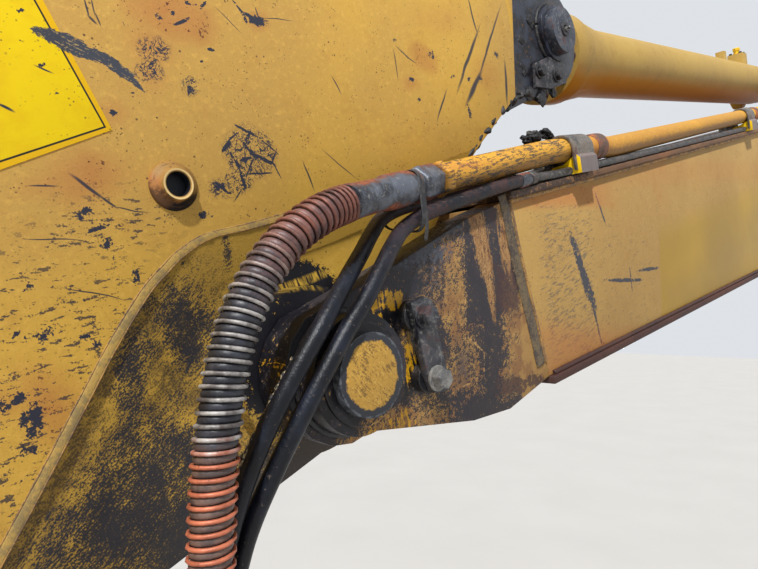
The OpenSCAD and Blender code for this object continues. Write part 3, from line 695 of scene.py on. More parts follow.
def make_arm_paint():
    w = Worn("arm_paint", ARM_AXES, wear=0.6)
    stains = [
        (170, 12, 34, 20, 20), (152, 46, 20, 18, 0, 0.8), (150, 74, 14, 14, 0, 0.6), (86, 178, 30, 20),
        (56, 182, 26, 9, 0, 0.7), (112, 112, 12, 10, 0, 0.6), (424, 58, 22, 14, 30, 0.9),
        (410, 84, 12, 9, 0, 0.8), (50, 405, 20, 30), (6, 402, 16, 14, 0, 0.7), (258, 20, 12, 9, 0, 0.9),
        (487, 76, 34, 24, 0, 0.6), (440, 20, 60, 20, 0, 0.3)]
    w.rust(w.patches(stains, 0.9) * w.near)
    chips = [
        (158, 17, 5, 6, -50), (172, 13, 6, 6), (190, 3, 12, 3), (203, 5, 9, 3, -40), (113, 112, 6, 6),
        (152, 50, 16, 12, 0, 0.55), (149, 74, 12, 8, 0, 0.6), (432, 55, 14, 14), (452, 77, 15, 7),
        (469, 79, 12, 5), (481, 80, 12, 12), (470, 112, 10, 20), (496, 54, 12, 14), (411, 80, 9, 6),
        (418, 99, 8, 5), (395, 40, 8, 7), (205, 215, 13, 8), (84, 212, 18, 9), (107, 243, 12, 9),
        (95, 229, 20, 5), (43, 333, 24, 10, 0, 0.9), (29, 288, 8, 6), (97, 343, 9, 9),
        (78, 304, 15, 5, 0, 0.9), (86, 336, 14, 5, 0, 0.9), (32, 422, 12, 22, 20, 0.9), (18, 398, 18, 7),
        (3, 405, 9, 14), (30, 448, 12, 9, 0, 0.9), (18, 334, 8, 4, 0, 0.9), (137, 276, 6, 16, 20, 0.9),
        (116, 262, 4, 14, 0, 0.9), (221, 186, 13, 6, 0, 0.9), (211, 50, 6, 3, 20), (201, 61, 3, 3),
        (191, 88, 4, 8, -45, 0.8), (132, 92, 5, 4)]
    w.lay(w.torn(w.patches(chips, 0.9, size=0.5) * 0.8, 0.46, 0.6) * w.near, MARK, 0.55)
    cracks = [
        (237, 126, 256, 136, 1.2), (249, 134, 244, 145, 1.6), (244, 144, 254, 157, 1.4),
        (252, 154, 273, 165, 1.9), (272, 163, 275, 151, 1.0), (275, 152, 263, 142, 0.9),
        (225, 150, 230, 144, 2.0), (229, 152, 241, 172, 1.1), (229, 142, 237, 134, 0.8),
        (240, 172, 246, 188, 1.8), (240, 160, 249, 157, 1.5), (247, 174, 270, 174, 0.8),
        (246, 176, 252, 160, 0.9), (273, 164, 281, 177, 0.8), (242, 190, 236, 200, 0.8),
        (216, 183, 226, 190, 1.6), (233, 1, 243, 13, 1.3), (242, 12, 256, 19, 1.8),
        (243, 14, 246, 20, 2.0), (255, 20, 263, 22, 5.0), (177, 24, 188, 17, 1.5), (256, 9, 259, 18, 0.6)]
    w.lay(w.torn(w.strokes(cracks, 0.7) * 0.9) * w.near, MARK, 0.55)
    crazed = [
        (250, 152, 30, 26), (232, 184, 26, 12, 0, 0.9), (154, 50, 16, 12, 0, 0.9),
        (150, 72, 14, 10, 0, 0.9), (190, 86, 10, 10, 0, 0.7)]
    crackle = w.patches(crazed, 0.6) * w.near
    fine_lines = w.squiggles(75, 0.03).most(w.squiggles(120, 0.036, 0.7))
    w.lay(fine_lines * crackle.ramp(0.15, 0.6), MARK, 0.55)
    dirty_places = [(40, 340, 110, 90), (110, 225, 90, 34, 0, 0.9), (20, 470, 60, 90, 0, 0.9)]
    dirty = w.patches(dirty_places, 0.9) * w.near
    flecks = (w.streaks(15, 0.016, 0.005) + (w.grain - 0.5) * 0.3).ramp(0.57, 0.62)
    w.lay(flecks * dirty.ramp(0.2, 0.9) * 0.9, rgb(60, 54, 58), 0.6)
    scratches = [
        (85, 0, 89, 16, 0.8), (89, 16, 96, 23, 1.0), (92, 0, 95, 14, 0.6), (96, 14, 101, 25, 0.7),
        (76, 178, 101, 197, 1.6), (101, 197, 115, 208, 1.0), (115, 208, 145, 212, 0.6),
        (30, 186, 56, 187, 0.7), (0, 105, 13, 112, 1.0), (468, 0, 477, 33, 1.6), (477, 33, 460, 84, 2.6),
        (498, 14, 480, 74, 2.0), (480, 74, 468, 100, 4.0), (505, 66, 507, 100, 3.0),
        (446, 93, 438, 118, 1.4), (304, 165, 313, 188, 1.0), (325, 152, 354, 177, 0.6),
        (394, 52, 398, 78, 0.9), (398, 48, 414, 62, 0.9), (218, 10, 239, 31, 0.5),
        (332, 78, 340, 92, 0.9), (30, 238, 76, 240, 0.5), (70, 288, 120, 300, 0.6),
        (264, 18, 290, 20, 0.5)]
    w.lay(w.strokes(scratches) * w.near * 0.95, MARK, 0.6)
    lay_smear(w)
    rear_edge = [(509, -60, 513, 98, 1.0)]
    w.lay(w.torn(w.boxes(rear_edge, 0.3) * w.near * 0.8) * 0.7, rgb(214, 164, 30), 0.4)
    return w.done()


def make_hub_paint():
    # The hub's two tones are the arm's ochre made darker: painted shade for the hub's face, which slopes in
    # away from the light
    w = Worn("hub_paint", ARM_AXES, 0.15, rgb(190, 150, 58), rgb(160, 126, 54), wear=0.5)
    stroke_start, stroke_end = (100, 440), (150, 385)
    lines = w.streaks(turn_of(w.at(*stroke_end) - w.at(*stroke_start)), 0.01, 0.002)
    mottled = [(150, 400, 150, 120), (165, 300, 60, 60, 0, 0.7), (60, 520, 140, 60, 30)]
    mottle = w.patches(mottled, 0.9)
    w.lay(mottle.ramp(0.2, 1.0) * w.cloud.ramp(0.3, 0.64) * 0.7, rgb(108, 84, 44), 0.55)
    rough = lines * 1.6 + (w.grain - 0.5) * 2.2 + (w.fine - 0.5) * 1.2 + (w.cloud - 0.5) * 1.0 + mottle * 0.3
    w.lay(rough.ramp(0.86, 1.36) * mottle.ramp(0.1, 0.6) * 0.74, rgb(58, 50, 40), 0.55)
    soiled = [
        (190, 328, 30, 44), (176, 300, 12, 22, 0, 0.8), (150, 500, 50, 60, 30, 0.9), (185, 540, 60, 60),
        (110, 540, 50, 34, 30, 0.8), (130, 380, 14, 40, 20, 0.7), (140, 352, 16, 18, 0, 0.7),
        (178, 400, 12, 10, 0, 0.5), (195, 430, 10, 22, 0, 0.6), (224, 252, 6, 20, 0, 0.8),
        (177, 262, 3, 7, 0, 0.8), (140, 300, 16, 7, -30, 0.5), (300, 462, 90, 50, 0, 1.2)]
    dark = w.patches(soiled, 0.9)
    edged = dark * 0.85 + (lines - 0.5) * 1.4 + (w.grain - 0.5) * 1.6 + (w.cloud - 0.5) * 0.9
    w.lay(edged.ramp(0.26, 0.68) * dark.ramp(0.02, 0.25) * 0.94, rgb(42, 43, 50), 0.5)
    # Black grease and painted shade round the pin, where the hub sits back in the gap behind the fork's boss
    grease_and_shade_round_pin = [(300, 345, 102, 100)]
    ring = w.patches(grease_and_shade_round_pin, 0.12, w.wavy)
    w.lay(w.torn(ring * 0.95, 0.3, 0.5), GREASE, 0.35)
    lit_edge = [(318, 277, 50, 5, 6), (285, 285, 30, 4, 30, 0.7)]
    lit = w.patches(lit_edge, 0.5, w.wavy)
    w.lay(lit * w.streaks(80, 0.03, 0.004).ramp(0.4, 0.62), rgb(196, 158, 60), 0.5)
    gold_left = [(268, 374, 12, 22, 10), (284, 412, 8, 14), (262, 388, 8, 10, 0, 0.8)]
    gold = w.patches(gold_left, 0.5)
    w.lay(w.torn(gold * 0.8) * w.streaks(70, 0.03, 0.004).ramp(0.36, 0.54), rgb(206, 162, 22), 0.45)
    return w.done(0.002)


def make_boom_paint():
    w = Worn("boom_paint", BOOM_AXES, BOOM_SIDE, rgb(178, 143, 80), rgb(164, 130, 74), wear=0.4)
    near_seam = [(541, 195, 600, 380, 1.0), (590, 200, 660, 380, 0.5)]
    dense = w.boxes(near_seam, 0.5) * w.near
    flecks = (w.streaks(4, 0.02, 0.004) + (w.grain - 0.5) * 0.5 + dense * 0.17).ramp(0.68, 0.77)
    w.lay(flecks * 0.7, rgb(92, 84, 76), 0.6)
    w.lay((w.streaks(-30, 0.01, 0.003) + dense * 0.08).ramp(0.68, 0.76) * 0.5, rgb(84, 76, 70), 0.6)
    scrapes = [
        (574, 244, 582, 270, 8), (582, 270, 592, 300, 10), (592, 300, 600, 336, 3),
        (596, 195, 605, 222, 2), (614, 280, 640, 280, 3), (630, 270, 632, 288, 2),
        (642, 270, 656, 268, 3)]
    w.lay(w.torn(w.strokes(scrapes, 0.9) * 0.9) * w.near, rgb(66, 66, 72), 0.6)
    rusty_places = [(505, 184, 610, 206, 1.0), (541, 330, 640, 392, 0.9), (610, 160, 790, 182, 0.3)]
    w.rust(w.boxes(rusty_places, 0.6) * w.near)
    repaint_edge, repaint_top = (660, 270), (700, 214)
    fresh = w.p.along((-1, 0, 0), seen(*repaint_edge, BOOM_SIDE)).ramp(0.0, 0.004)
    height = w.p.along(UP_FROM_BOOM, seen(*repaint_top, BOOM_SIDE)) + w.broken * 0.01
    two_tone = w.p.mixed(w.large.ramp(0.3, 0.7), rgb(180, 142, 36), rgb(156, 124, 44))
    w.lay(fresh * height.ramp(0.035, -0.035) * w.near * 0.85, two_tone, 0.42)
    return w.done()


def make_flange_paint():
    """The boom's top plate: brown and dirty along its edges, and dark on its upward face and towards the
    fork, as caked dirt and painted shade under the pipe and hoses.
    """
    w = Worn("flange_paint", BOOM_AXES, BOOM_SIDE, rgb(134, 98, 62), rgb(104, 76, 54), wear=0.6)
    w.lay((w.streaks(1, 0.06, 0.004) + w.broken * 0.2).ramp(0.5, 0.64) * 0.8, rgb(88, 62, 48), 0.6)
    near_fork = w.p.along(BACK_ALONG_BOOM, PIVOT).ramp(1.1, 0.4)
    # Caked dirt and painted shade under the pipe and hoses: the upward face darkens, most towards the fork
    w.lay(w.torn(facing_up(w.p).ramp(0.3, 0.8) * (near_fork * 0.6 + 0.35)), rgb(40, 32, 30), 0.5)
    w.lay(w.torn(near_fork.ramp(0.5, 1.0) * 0.7) * 0.9, rgb(52, 42, 38), 0.55)
    return w.done(0.002)


def make_soiled_paint():
    """Purple-brown dirt over the flange's paint."""
    w = Worn("soiled_paint", None, bright=rgb(76, 47, 38), faded=rgb(58, 38, 35), wear=0.4)
    w.lay(w.torn((w.large - 0.2) * 0.9) * 0.8, rgb(42, 33, 35), 0.45)
    return w.done(0.002)


def make_fork_paint():
    w = Worn("fork_paint", BOOM_AXES, BOOM_SIDE, rgb(172, 134, 70), rgb(158, 122, 66), wear=0.7)
    down = w.streaks(88, 0.034, 0.004)
    torn_edge = w.p.warped(w.flat, 22, 0.04)
    flecks = (w.streaks(28, 0.01, 0.0032) - 0.5) * 1.3 + (w.grain - 0.5) * 0.5
    # Dark soil over the whole flank first, then the paint that still shows through it
    whole_flank = [(225, 180, 548, 460, 1.0)]
    soil = w.boxes(whole_flank, 0.04) * w.near
    w.lay(w.torn(soil), w.p.mixed(w.cloud.ramp(0.35, 0.65), SOIL, rgb(46, 42, 48)), 0.6)
    painted = [
        (412, 262, 466, 320, 0.58), (442, 228, 466, 345, 0.8), (444, 325, 484, 392, 0.62),
        (340, 402, 456, 446, 0.8), (504, 286, 548, 398, 0.9), (518, 196, 560, 300, 0.88),
        (397, 296, 420, 396, 0.62), (404, 385, 440, 410, 0.7)]
    paint = w.boxes(painted, 0.5, torn_edge) * w.near
    ochre = w.p.mixed(w.cloud.ramp(0.4, 0.62), rgb(166, 128, 74), rgb(136, 98, 60))
    w.lay(w.torn(paint * 0.9 + flecks * 1.5 * paint, 0.44, 0.66), ochre, 0.6)
    drip_lines = [
        (474, 200, 484, 262, 15), (482, 230, 490, 284, 11), (488, 270, 493, 309, 7),
        (500, 206, 506, 262, 11), (506, 250, 512, 286, 7)]
    drips = w.strokes(drip_lines, 0.75) * w.near
    grained = (drips + (down - 0.5) * 3.4 + w.broken * 0.9).ramp(0.36, 0.78)
    tan = w.p.mixed(w.fine.ramp(0.4, 0.6), rgb(150, 108, 64), rgb(182, 142, 90))
    w.lay(grained * drips.ramp(0.02, 0.4) * 0.9, tan, 0.6)
    w.lay((down * 1.4 + w.broken * 0.5).ramp(0.72, 0.92) * drips.ramp(0.1, 0.6) * 0.85, rgb(84, 50, 36), 0.6)
    brown_places = [
        (484, 196, 500, 236, 0.7), (494, 262, 518, 312, 1.0), (530, 196, 548, 216, 0.8),
        (500, 376, 560, 394, 0.9), (496, 182, 560, 196, 1.0)]
    brown = w.boxes(brown_places, 0.7, torn_edge) * w.near
    w.lay(w.torn(brown * 0.85) * 0.85, rgb(66, 46, 44), 0.6)
    slate_places = [(372, 236, 447, 300, 0.5), (390, 205, 446, 262, 1.0), (440, 196, 462, 240, 0.7)]
    slate = w.boxes(slate_places, 0.7, torn_edge) * w.near
    w.lay(w.torn(slate * 0.85 - flecks * 0.3, 0.42, 0.64), SLATE, 0.42)
    faint_place = [(454, 342, 472, 380, 0.45)]
    w.lay(w.torn(w.boxes(faint_place, 0.8, torn_edge) * w.near, 0.4, 0.7) * 0.8, rgb(76, 72, 72), 0.6)
    pale_line = [
        (464, 232, 466, 335, 0.9), (466, 335, 484, 352, 1.0), (484, 352, 484, 372, 1.0),
        (484, 372, 456, 391, 0.9)]
    w.lay(w.strokes(pale_line, 0.8) * w.near * w.fine.ramp(0.44, 0.6) * 0.7, rgb(196, 156, 96), 0.5)
    # Black grease, with painted shade in the gap left of the keeper plate and round the upper left of the
    # pin's boss
    grease_and_keeper_shade = [
        (250, 300, 346, 440, 0.85), (346, 308, 402, 338, 0.9), (378, 300, 404, 322, 0.8),
        (406, 322, 433, 396, 1.0), (398, 330, 412, 392, 0.35), (388, 268, 430, 296, 0.5)]
    black = w.boxes(grease_and_keeper_shade, 0.4) * w.near
    w.lay(w.torn(black * 0.92), GREASE, 0.32)
    golden = [
        (404, 306, 413, 324, 1.2), (364, 290, 404, 311, 0.75), (397, 325, 420, 388, 0.62),
        (372, 312, 384, 326, 0.5), (346, 408, 420, 438, 0.45), (254, 340, 288, 400, 0.62)]
    gold = w.boxes(golden, 0.4) * w.near
    rubbed = (gold + (down - 0.5) * 2.0 + w.broken * 0.5).ramp(0.5, 0.7)
    w.lay(rubbed * gold.ramp(0.05, 0.4), rgb(202, 150, 26), 0.4)
    return w.done(0.002)


def make_pin_paint():
    """The pin's disc: a dark rubbed rim round flaky ochre."""
    w = Worn("pin_paint", ARM_AXES, 0.27, rgb(184, 142, 60), rgb(160, 122, 56), wear=0.9)
    strokes = w.streaks(62, 0.011, 0.002) + (w.grain - 0.5) * 0.6
    w.lay((strokes + (w.cloud - 0.5) * 0.8).ramp(0.54, 0.66) * 0.72, rgb(96, 74, 44), 0.6)
    w.lay((1 - strokes).ramp(0.58, 0.66) * 0.5, rgb(206, 172, 92), 0.5)
    away = w.p.length(w.flat)
    w.lay((away + (w.fine - 0.5) * 0.012).ramp(0.035, 0.0375), rgb(44, 46, 52), 0.42)
    rim = (away + (w.fine - 0.5) * 0.008).ramp(0.0425, 0.044)
    w.lay(rim * w.fine.ramp(0.4, 0.6) * 0.6, rgb(104, 108, 114), 0.4)
    return w.done(0.0018)


def make_decal():
    """A blank warning plate: bright yellow with a thin dark line inside its edge."""
    w = Worn("decal_yellow", ARM_AXES, bright=rgb(240, 206, 2), faded=rgb(236, 198, 4), wear=0.3)
    p = w.p
    centre = decal_corner + decal_right * DECAL_W / 2 + decal_up * DECAL_H / 2
    w.colour = p.mixed(w.cloud.ramp(0.4, 0.7), rgb(243, 208, 0), rgb(236, 196, 2))
    margin = 0.0068
    across = p.along(decal_right, centre).absolute() - (DECAL_W / 2 - margin)
    up = p.along(decal_up, centre).absolute() - (DECAL_H / 2 - margin)
    box = across.most(up)
    w.lay(box.ramp(0.0, 0.0004), rgb(238, 186, 10), 0.4)
    w.lay(box.absolute().ramp(0.001, 0.0007), rgb(40, 38, 28), 0.5)
    w.specks(0.35)
    scratches = [(0, 105, 13, 112, 1.2), (36, 66, 50, 72, 0.7)]
    w.lay(w.strokes(scratches), MARK, 0.6)
    chips = [(16, 10, 10, 4, 0, 0.55), (40, 66, 8, 2, 0, 0.7), (54, 90, 5, 3, 0, 0.6)]
    w.lay(w.torn(w.patches(chips, 0.9, size=0.6)), MARK, 0.6)
    lay_smear(w)
    return w.done(0.0006)


def make_plain_paint(name="plain_paint", bright=OCHRE, faded=TAN, wear=0.4):
    return Worn(name, None, bright=bright, faded=faded, wear=wear).done()


def facing_up(p):
    """How far the surface faces up: 1 on top, -1 below."""
    return p.node("ShaderNodeSeparateXYZ", {}, {0: p.normal()}, out=2)


def make_barrel_paint():
    """Pale ochre above, with painted shade: deeper orange on the underside, and a few long scuffs."""
    w = Worn("barrel_paint", None, bright=rgb(186, 152, 74), faded=rgb(172, 139, 70), wear=0.4)
    w.lay((facing_up(w.p) + (w.cloud - 0.5) * 0.3).ramp(-0.3, -0.75) * 0.9, rgb(196, 126, 6), 0.4)
    w.lay(w.torn((w.large - 0.3) * 0.9, 0.56, 0.7) * 0.5, rgb(96, 74, 56), 0.5)
    return w.done()


def make_pipe_paint():
    w = Worn("pipe_paint", BOOM_AXES, 0.24, rgb(214, 158, 52), rgb(190, 138, 56), wear=0.8)
    # Painted shade: brown on the pipe's underside, broken up by the paint's texture
    w.lay((facing_up(w.p) + w.broken * 0.5).ramp(0.15, -0.5) * 0.75, rgb(120, 84, 40), 0.5)
    soiled_length = [(446, 130, 580, 196, 1.0)]
    soiled = w.boxes(soiled_length, 0.2) * w.near
    dark = (w.streaks(4, 0.022, 0.003) + w.broken * 0.3).ramp(0.5, 0.58)
    w.lay(dark * soiled * 0.9, rgb(70, 62, 54), 0.6)
    rusty_places = [(436, 166, 20, 8), (470, 165, 60, 6, 0, 0.6), (600, 143, 40, 20, 0, 0.9)]
    w.rust(w.patches(rusty_places, 0.8))
    return w.done()


def make_grimy_paint():
    w = Worn("grimy_paint", None, bright=rgb(120, 88, 44), faded=rgb(84, 60, 40), wear=0.6)
    w.lay(w.torn((w.large - 0.06) * 1.15), GREASE, 0.38)
    return w.done(0.002)


def make_ear_paint():
    """Black grease over the ears, with a little paint left at their front edge."""
    w = Worn("ear_paint", None, bright=rgb(128, 94, 40), faded=rgb(84, 60, 40), wear=0.6)
    black = w.p.mixed(w.cloud.ramp(0.42, 0.6), rgb(22, 23, 30), rgb(46, 50, 62))
    w.lay(w.torn((w.large + 0.24) * 1.1, 0.34, 0.5), black, 0.3)
    return w.done(0.002)


def make_grease():
    p = Paint("grease")
    fine = p.noise(p.place, 130, 5, 0.7)
    cloud = p.noise(p.place, 30, 4, 0.6)
    colour = p.mixed(cloud.ramp(0.4, 0.66), rgb(18, 18, 23), rgb(48, 45, 46))
    colour = p.mixed((fine + cloud * 0.5).ramp(0.9, 0.98) * 0.8, colour, rgb(158, 128, 78))
    return p.finish(colour, 0.3 + fine * 0.3, 0.0, p.bump(fine + cloud, 0.003, 0.8))


def make_crust():
    """Dirt caked on a hose: black, with pale flecks."""
    p = Paint("caked_dirt")
    fine = p.noise(p.attribute("rest", "Vector"), 260, 3, 0.7)
    colour = p.mixed(fine.ramp(0.5, 0.6), rgb(30, 28, 30), rgb(170, 154, 122))
    return p.finish(colour, 0.6, 0.0, p.bump(fine, 0.002, 0.8))


def make_dark_steel(name="dark_steel", low=rgb(50, 49, 51), high=rgb(92, 89, 86), worn=0.5, rough=0.36):
    """Worn bare steel with rust in its hollows."""
    p = Paint(name)
    cloud = p.noise(p.place, 26, 5, 0.6)
    fine = p.noise(p.place, 170, 4, 0.7)
    colour = p.mixed(cloud.ramp(0.35, 0.65), low, high)
    colour = p.mixed(fine.ramp(0.52, 0.7) * worn, colour, rgb(146, 140, 130))
    colour = p.mixed((cloud + fine * 0.4).ramp(0.76, 0.86) * 0.7, colour, DARK_RUST)
    return p.finish(colour, rough + cloud * 0.3, fine.ramp(0.7, 0.4) * 0.55, p.bump(fine, 0.0008, 0.6))


def make_rusty():
    """Orange-brown surface rust over the joints."""
    p = Paint("rusty_steel")
    cloud = p.noise(p.place, 34, 5, 0.65)
    fine = p.noise(p.place, 180, 4, 0.7)
    colour = p.mixed(cloud.ramp(0.35, 0.62), rgb(166, 98, 60), rgb(96, 76, 68))
    colour = p.mixed(fine.ramp(0.5, 0.72) * 0.6, colour, rgb(78, 70, 68))
    return p.finish(colour, 0.55 + fine * 0.25, 0.2, p.bump(fine + cloud, 0.0014, 0.8))


def make_chrome():
    p = Paint("rod_chrome")
    cloud = p.noise(p.place, 9, 4, 0.6)
    fine = p.noise(p.place, 240, 2)
    colour = p.mixed(cloud.ramp(0.5, 0.8) * 0.3, rgb(205, 207, 210), rgb(150, 140, 124))
    return p.finish(colour, 0.12 + cloud * 0.16 + fine * 0.05, 1.0, None)


def make_rubber():
    """Blue-black rubber, dusty brown in patches near its upper end, with pale flecks."""
    p = Paint("hose_rubber")
    p.shader.inputs["Specular IOR Level"].default_value = 0.3
    rest = p.attribute("rest", "Vector")
    along = p.attribute("along")
    cloud = p.noise(rest, 22, 4, 0.6)
    fine = p.noise(rest, 190, 4, 0.7)
    colour = p.mixed(cloud.ramp(0.4, 0.7), rgb(9, 12, 20), rgb(25, 29, 42))
    dusty = along.ramp(0.46, 0.16) * (cloud + (fine - 0.5) * 1.2).ramp(0.36, 0.62)
    colour = p.mixed(dusty * 0.9, colour, rgb(68, 46, 42))
    colour = p.mixed(fine.ramp(0.62, 0.7) * 0.6, colour, rgb(110, 96, 84))
    return p.finish(colour, 0.3 + fine * 0.2 + dusty * 0.3, 0.0, p.bump(fine, 0.001, 0.7))


def make_guard(name, first, middle, last, groove_shade, low):
    """The guard's wire, or the hose in it. Its colour changes twice along the hose, and each of the
    three colours is a light and a dark one."""
    p = Paint(name)
    rest = p.attribute("rest", "Vector")
    along = p.attribute("along")
    cloud = p.noise(rest, 42, 4, 0.6)
    fine = p.noise(rest, 240, 4, 0.7)
    first, middle, last = (p.mixed(cloud.ramp(0.35, 0.65), rgb(*light), rgb(*dark))
                           for light, dark in (first, middle, last))
    at = along + (cloud - 0.5) * 0.05
    colour = p.mixed((at + (fine - 0.5) * 0.1).ramp(0.08, 0.19), first, middle)
    colour = p.mixed(at.ramp(0.283, 0.312), colour, last)
    colour = p.mixed(fine.ramp(0.58, 0.72) * 0.7, colour, rgb(48, 40, 40))
    # Painted shade: the hose is darkened to near black in the grooves between the spring's turns
    if groove_shade:
        colour = p.mixed(p.attribute("groove_shade").ramp(0.25, 0.95) * 0.92, colour, rgb(18, 16, 18))
    return p.finish(colour, low + fine * 0.3, 0.0 if groove_shade else 0.25, p.bump(fine, 0.0008, 0.7))


def make_band(name, colour_low, colour_high):
    """A plain worn coat for small straps and weld beads."""
    p = Paint(name)
    cloud = p.noise(p.place, 50, 4, 0.6)
    fine = p.noise(p.place, 260, 3, 0.7)
    colour = p.mixed((cloud + (fine - 0.5) * 0.9).ramp(0.36, 0.64), colour_low, colour_high)
    return p.finish(colour, 0.5 + fine * 0.25, 0.0, p.bump(fine, 0.0008, 0.7))


DECAL_CORNER, DECAL_FOOT, DECAL_EDGE = (112, 130), (0, 170), (57, 27)
decal_corner = seen(*DECAL_CORNER, ARM_SIDE)
decal_right = (seen(*DECAL_FOOT, ARM_SIDE) - decal_corner).normalized()
decal_up = (seen(*DECAL_EDGE, ARM_SIDE) - decal_corner).normalized()
DECAL_W, DECAL_H = 0.29, 0.23

ARM_PAINT = make_arm_paint()
HUB_PAINT = make_hub_paint()
BOOM_PAINT = make_boom_paint()
FLANGE_PAINT = make_flange_paint()
SOILED_PAINT = make_soiled_paint()
FORK_PAINT = make_fork_paint()
PIN_PAINT = make_pin_paint()
DECAL = make_decal()
PLAIN_PAINT = make_plain_paint()
BRIGHT_PAINT = make_plain_paint("bright_paint", rgb(240, 196, 40), rgb(226, 178, 44), 0.3)
BARREL_PAINT = make_barrel_paint()
PIPE_PAINT = make_pipe_paint()
GRIMY_PAINT = make_grimy_paint()
EAR_PAINT = make_ear_paint()
GREASE_COAT = make_grease()
CRUST = make_crust()
DARK_STEEL = make_dark_steel()
WORN_STEEL = make_dark_steel("worn_steel", rgb(78, 79, 82), rgb(150, 148, 142), 0.8, 0.3)
PIN_STEEL = make_dark_steel("pin_steel", rgb(52, 56, 68), rgb(92, 96, 106), 0.5, 0.34)
RUSTY = make_rusty()
CHROME = make_chrome()
RUBBER = make_rubber()
HOSE_COVER = make_guard("hose_cover", ((128, 88, 80), (82, 64, 64)), ((52, 54, 63), (24, 25, 33)),
                        ((118, 94, 84), (74, 62, 60)), True, 0.3)
SPRING = make_guard("spring_steel", ((132, 82, 68), (84, 56, 52)), ((180, 176, 172), (86, 80, 78)),
                    ((206, 120, 88), (164, 92, 66)), False, 0.34)
WELD = make_band("weld_bead", rgb(168, 126, 64), rgb(104, 80, 58))
RIDGE_WELD = make_band("ridge_bead", rgb(176, 142, 72), rgb(138, 116, 72))
GREY_WELD = make_band("grey_weld", rgb(104, 88, 62), rgb(64, 54, 48))
TIE = make_band("black_tie", rgb(26, 27, 31), rgb(58, 55, 54))

# Plates, castings and cylinders

UP_Y, DOWN_Y = Vector((0, 1, 0)), Vector((0, -1, 0))
SIDES = ((1, "left"), (-1, "right"))
# For each body its CAD nodes, with the radius of their rounded edges in millimetres and their finish
EASED = {
    "boom": [
        ("boom_side_left", 1.5, BOOM_PAINT), ("boom_side_right", 1.5, BOOM_PAINT),
        ("boom_top_plate", 2.5, FLANGE_PAINT), ("boom_bottom_plate", 2.5, SOILED_PAINT),
        ("boom_foot", 5, PLAIN_PAINT), ("boom_lift_boss", 5, PLAIN_PAINT), ("boom_fork", 4, FORK_PAINT),
        ("arm_cylinder_bracket", 5, PLAIN_PAINT), ("arm_cylinder_pin_ends", 4, DARK_STEEL),
        ("main_pin", 6, PIN_PAINT), ("boom_slim_lines", 1, DARK_STEEL)],
    "arm": [
        ("arm_side_left", 2, ARM_PAINT), ("arm_side_right", 2, ARM_PAINT), ("arm_top_plate", 2.5, ARM_PAINT),
        ("arm_bottom_plate", 2.5, GRIMY_PAINT), ("arm_hub", 4, HUB_PAINT), ("arm_rear_ears", 5, EAR_PAINT),
        ("arm_rear_pin", 4, PIN_STEEL), ("arm_link_boss", 4, PLAIN_PAINT), ("arm_tip_boss", 5, PLAIN_PAINT),
        ("bucket_cylinder_bracket", 5, PLAIN_PAINT), ("bucket_cylinder_pin_ends", 4, DARK_STEEL),
        ("arm_pipe", 1, PIPE_PAINT), ("arm_slim_lines", 1, DARK_STEEL)],
    "arm_cylinder_rod": [("arm_cylinder_rod", 4, CHROME)],
    "arm_cylinder_barrel": [
        ("arm_cylinder_barrel", 4, BARREL_PAINT), ("arm_cylinder_foot", 5, BARREL_PAINT),
        ("arm_cylinder_line", 1, BARREL_PAINT)],
    "idler_links": [
        ("idler_link_left", 5, PLAIN_PAINT), ("idler_link_right", 5, PLAIN_PAINT),
        ("idler_pins", 4, DARK_STEEL)],
    "bucket_cylinder_rod": [("bucket_cylinder_rod", 4, CHROME)],
    "bucket_cylinder_barrel": [
        ("bucket_cylinder_barrel", 4, BARREL_PAINT), ("bucket_cylinder_foot", 5, BARREL_PAINT)],
    "push_link": [("push_link", 6, PLAIN_PAINT)],
}
SLOTS = {**dict.fromkeys((GRIMY_PAINT, EAR_PAINT, SOILED_PAINT, PIN_PAINT), "grimy_paint"),
         DARK_STEEL: "dark_steel", PIN_STEEL: "dark_steel", CHROME: "rod_chrome"}
for body, rows in EASED.items():
    for node, width, material in rows:
        piece = eased(node, node + "_dressed", width / 1000)
        finish_piece(piece, body, material, [node])

# Bolts, caps and nipples

def make_bolt(radius, head, washer):
    """A hex head on its washer, standing at the origin. Its sizes are in millimetres."""
    disc = turned("washer", [(washer * 0.97, 0), (washer, 0.5), (washer, 2.8), (washer * 0.94, 3.4)], 32)
    block = turned("head", [(radius, 3.4), (radius, head)], 6)
    rounded_edges(block, radius * 0.09 / 1000, 30, 2, 30)
    crown = turned("crown", [(radius * 0.8, head - 0.4), (radius * 0.8, head + 0.4),
                             (radius * 0.74, head + 0.9)], 24)
    return joined("bolt", [disc, block, crown])


def make_nipple():
    """A grease nipple: a small hex with a necked ball."""
    base = turned("base", [(5.8, 0), (5.8, 6), (5, 6.8)], 6)
    ball = turned("ball", [(3.2, 6.6), (3, 10.5), (4.2, 12.5), (4.2, 14.5), (2.6, 17.2)], 16)
    return joined("nipple", [base, ball])


PATTERNS = {"bolt": make_bolt(10, 10.5, 12.5), "big_bolt": make_bolt(13, 16, 16), "nipple": make_nipple()}
counts = {}


def fitted(kind, at, axis, body, material=None, spin=0.0, size=1.0):
    """A copy of a bolt or nipple, with its own mesh, set on a face."""
    counts[kind] = counts.get(kind, 0) + 1
    piece = PATTERNS[kind].copy()
    piece.data = PATTERNS[kind].data.copy()
    piece.name = piece.data.name = f"{kind}_{counts[kind]:03d}"
    bpy.context.scene.collection.objects.link(piece)
    piece.data.transform(Matrix.Scale(size, 4))
    set_in(piece, at, axis, spin)
    return finish_piece(piece, body, material or DARK_STEEL)


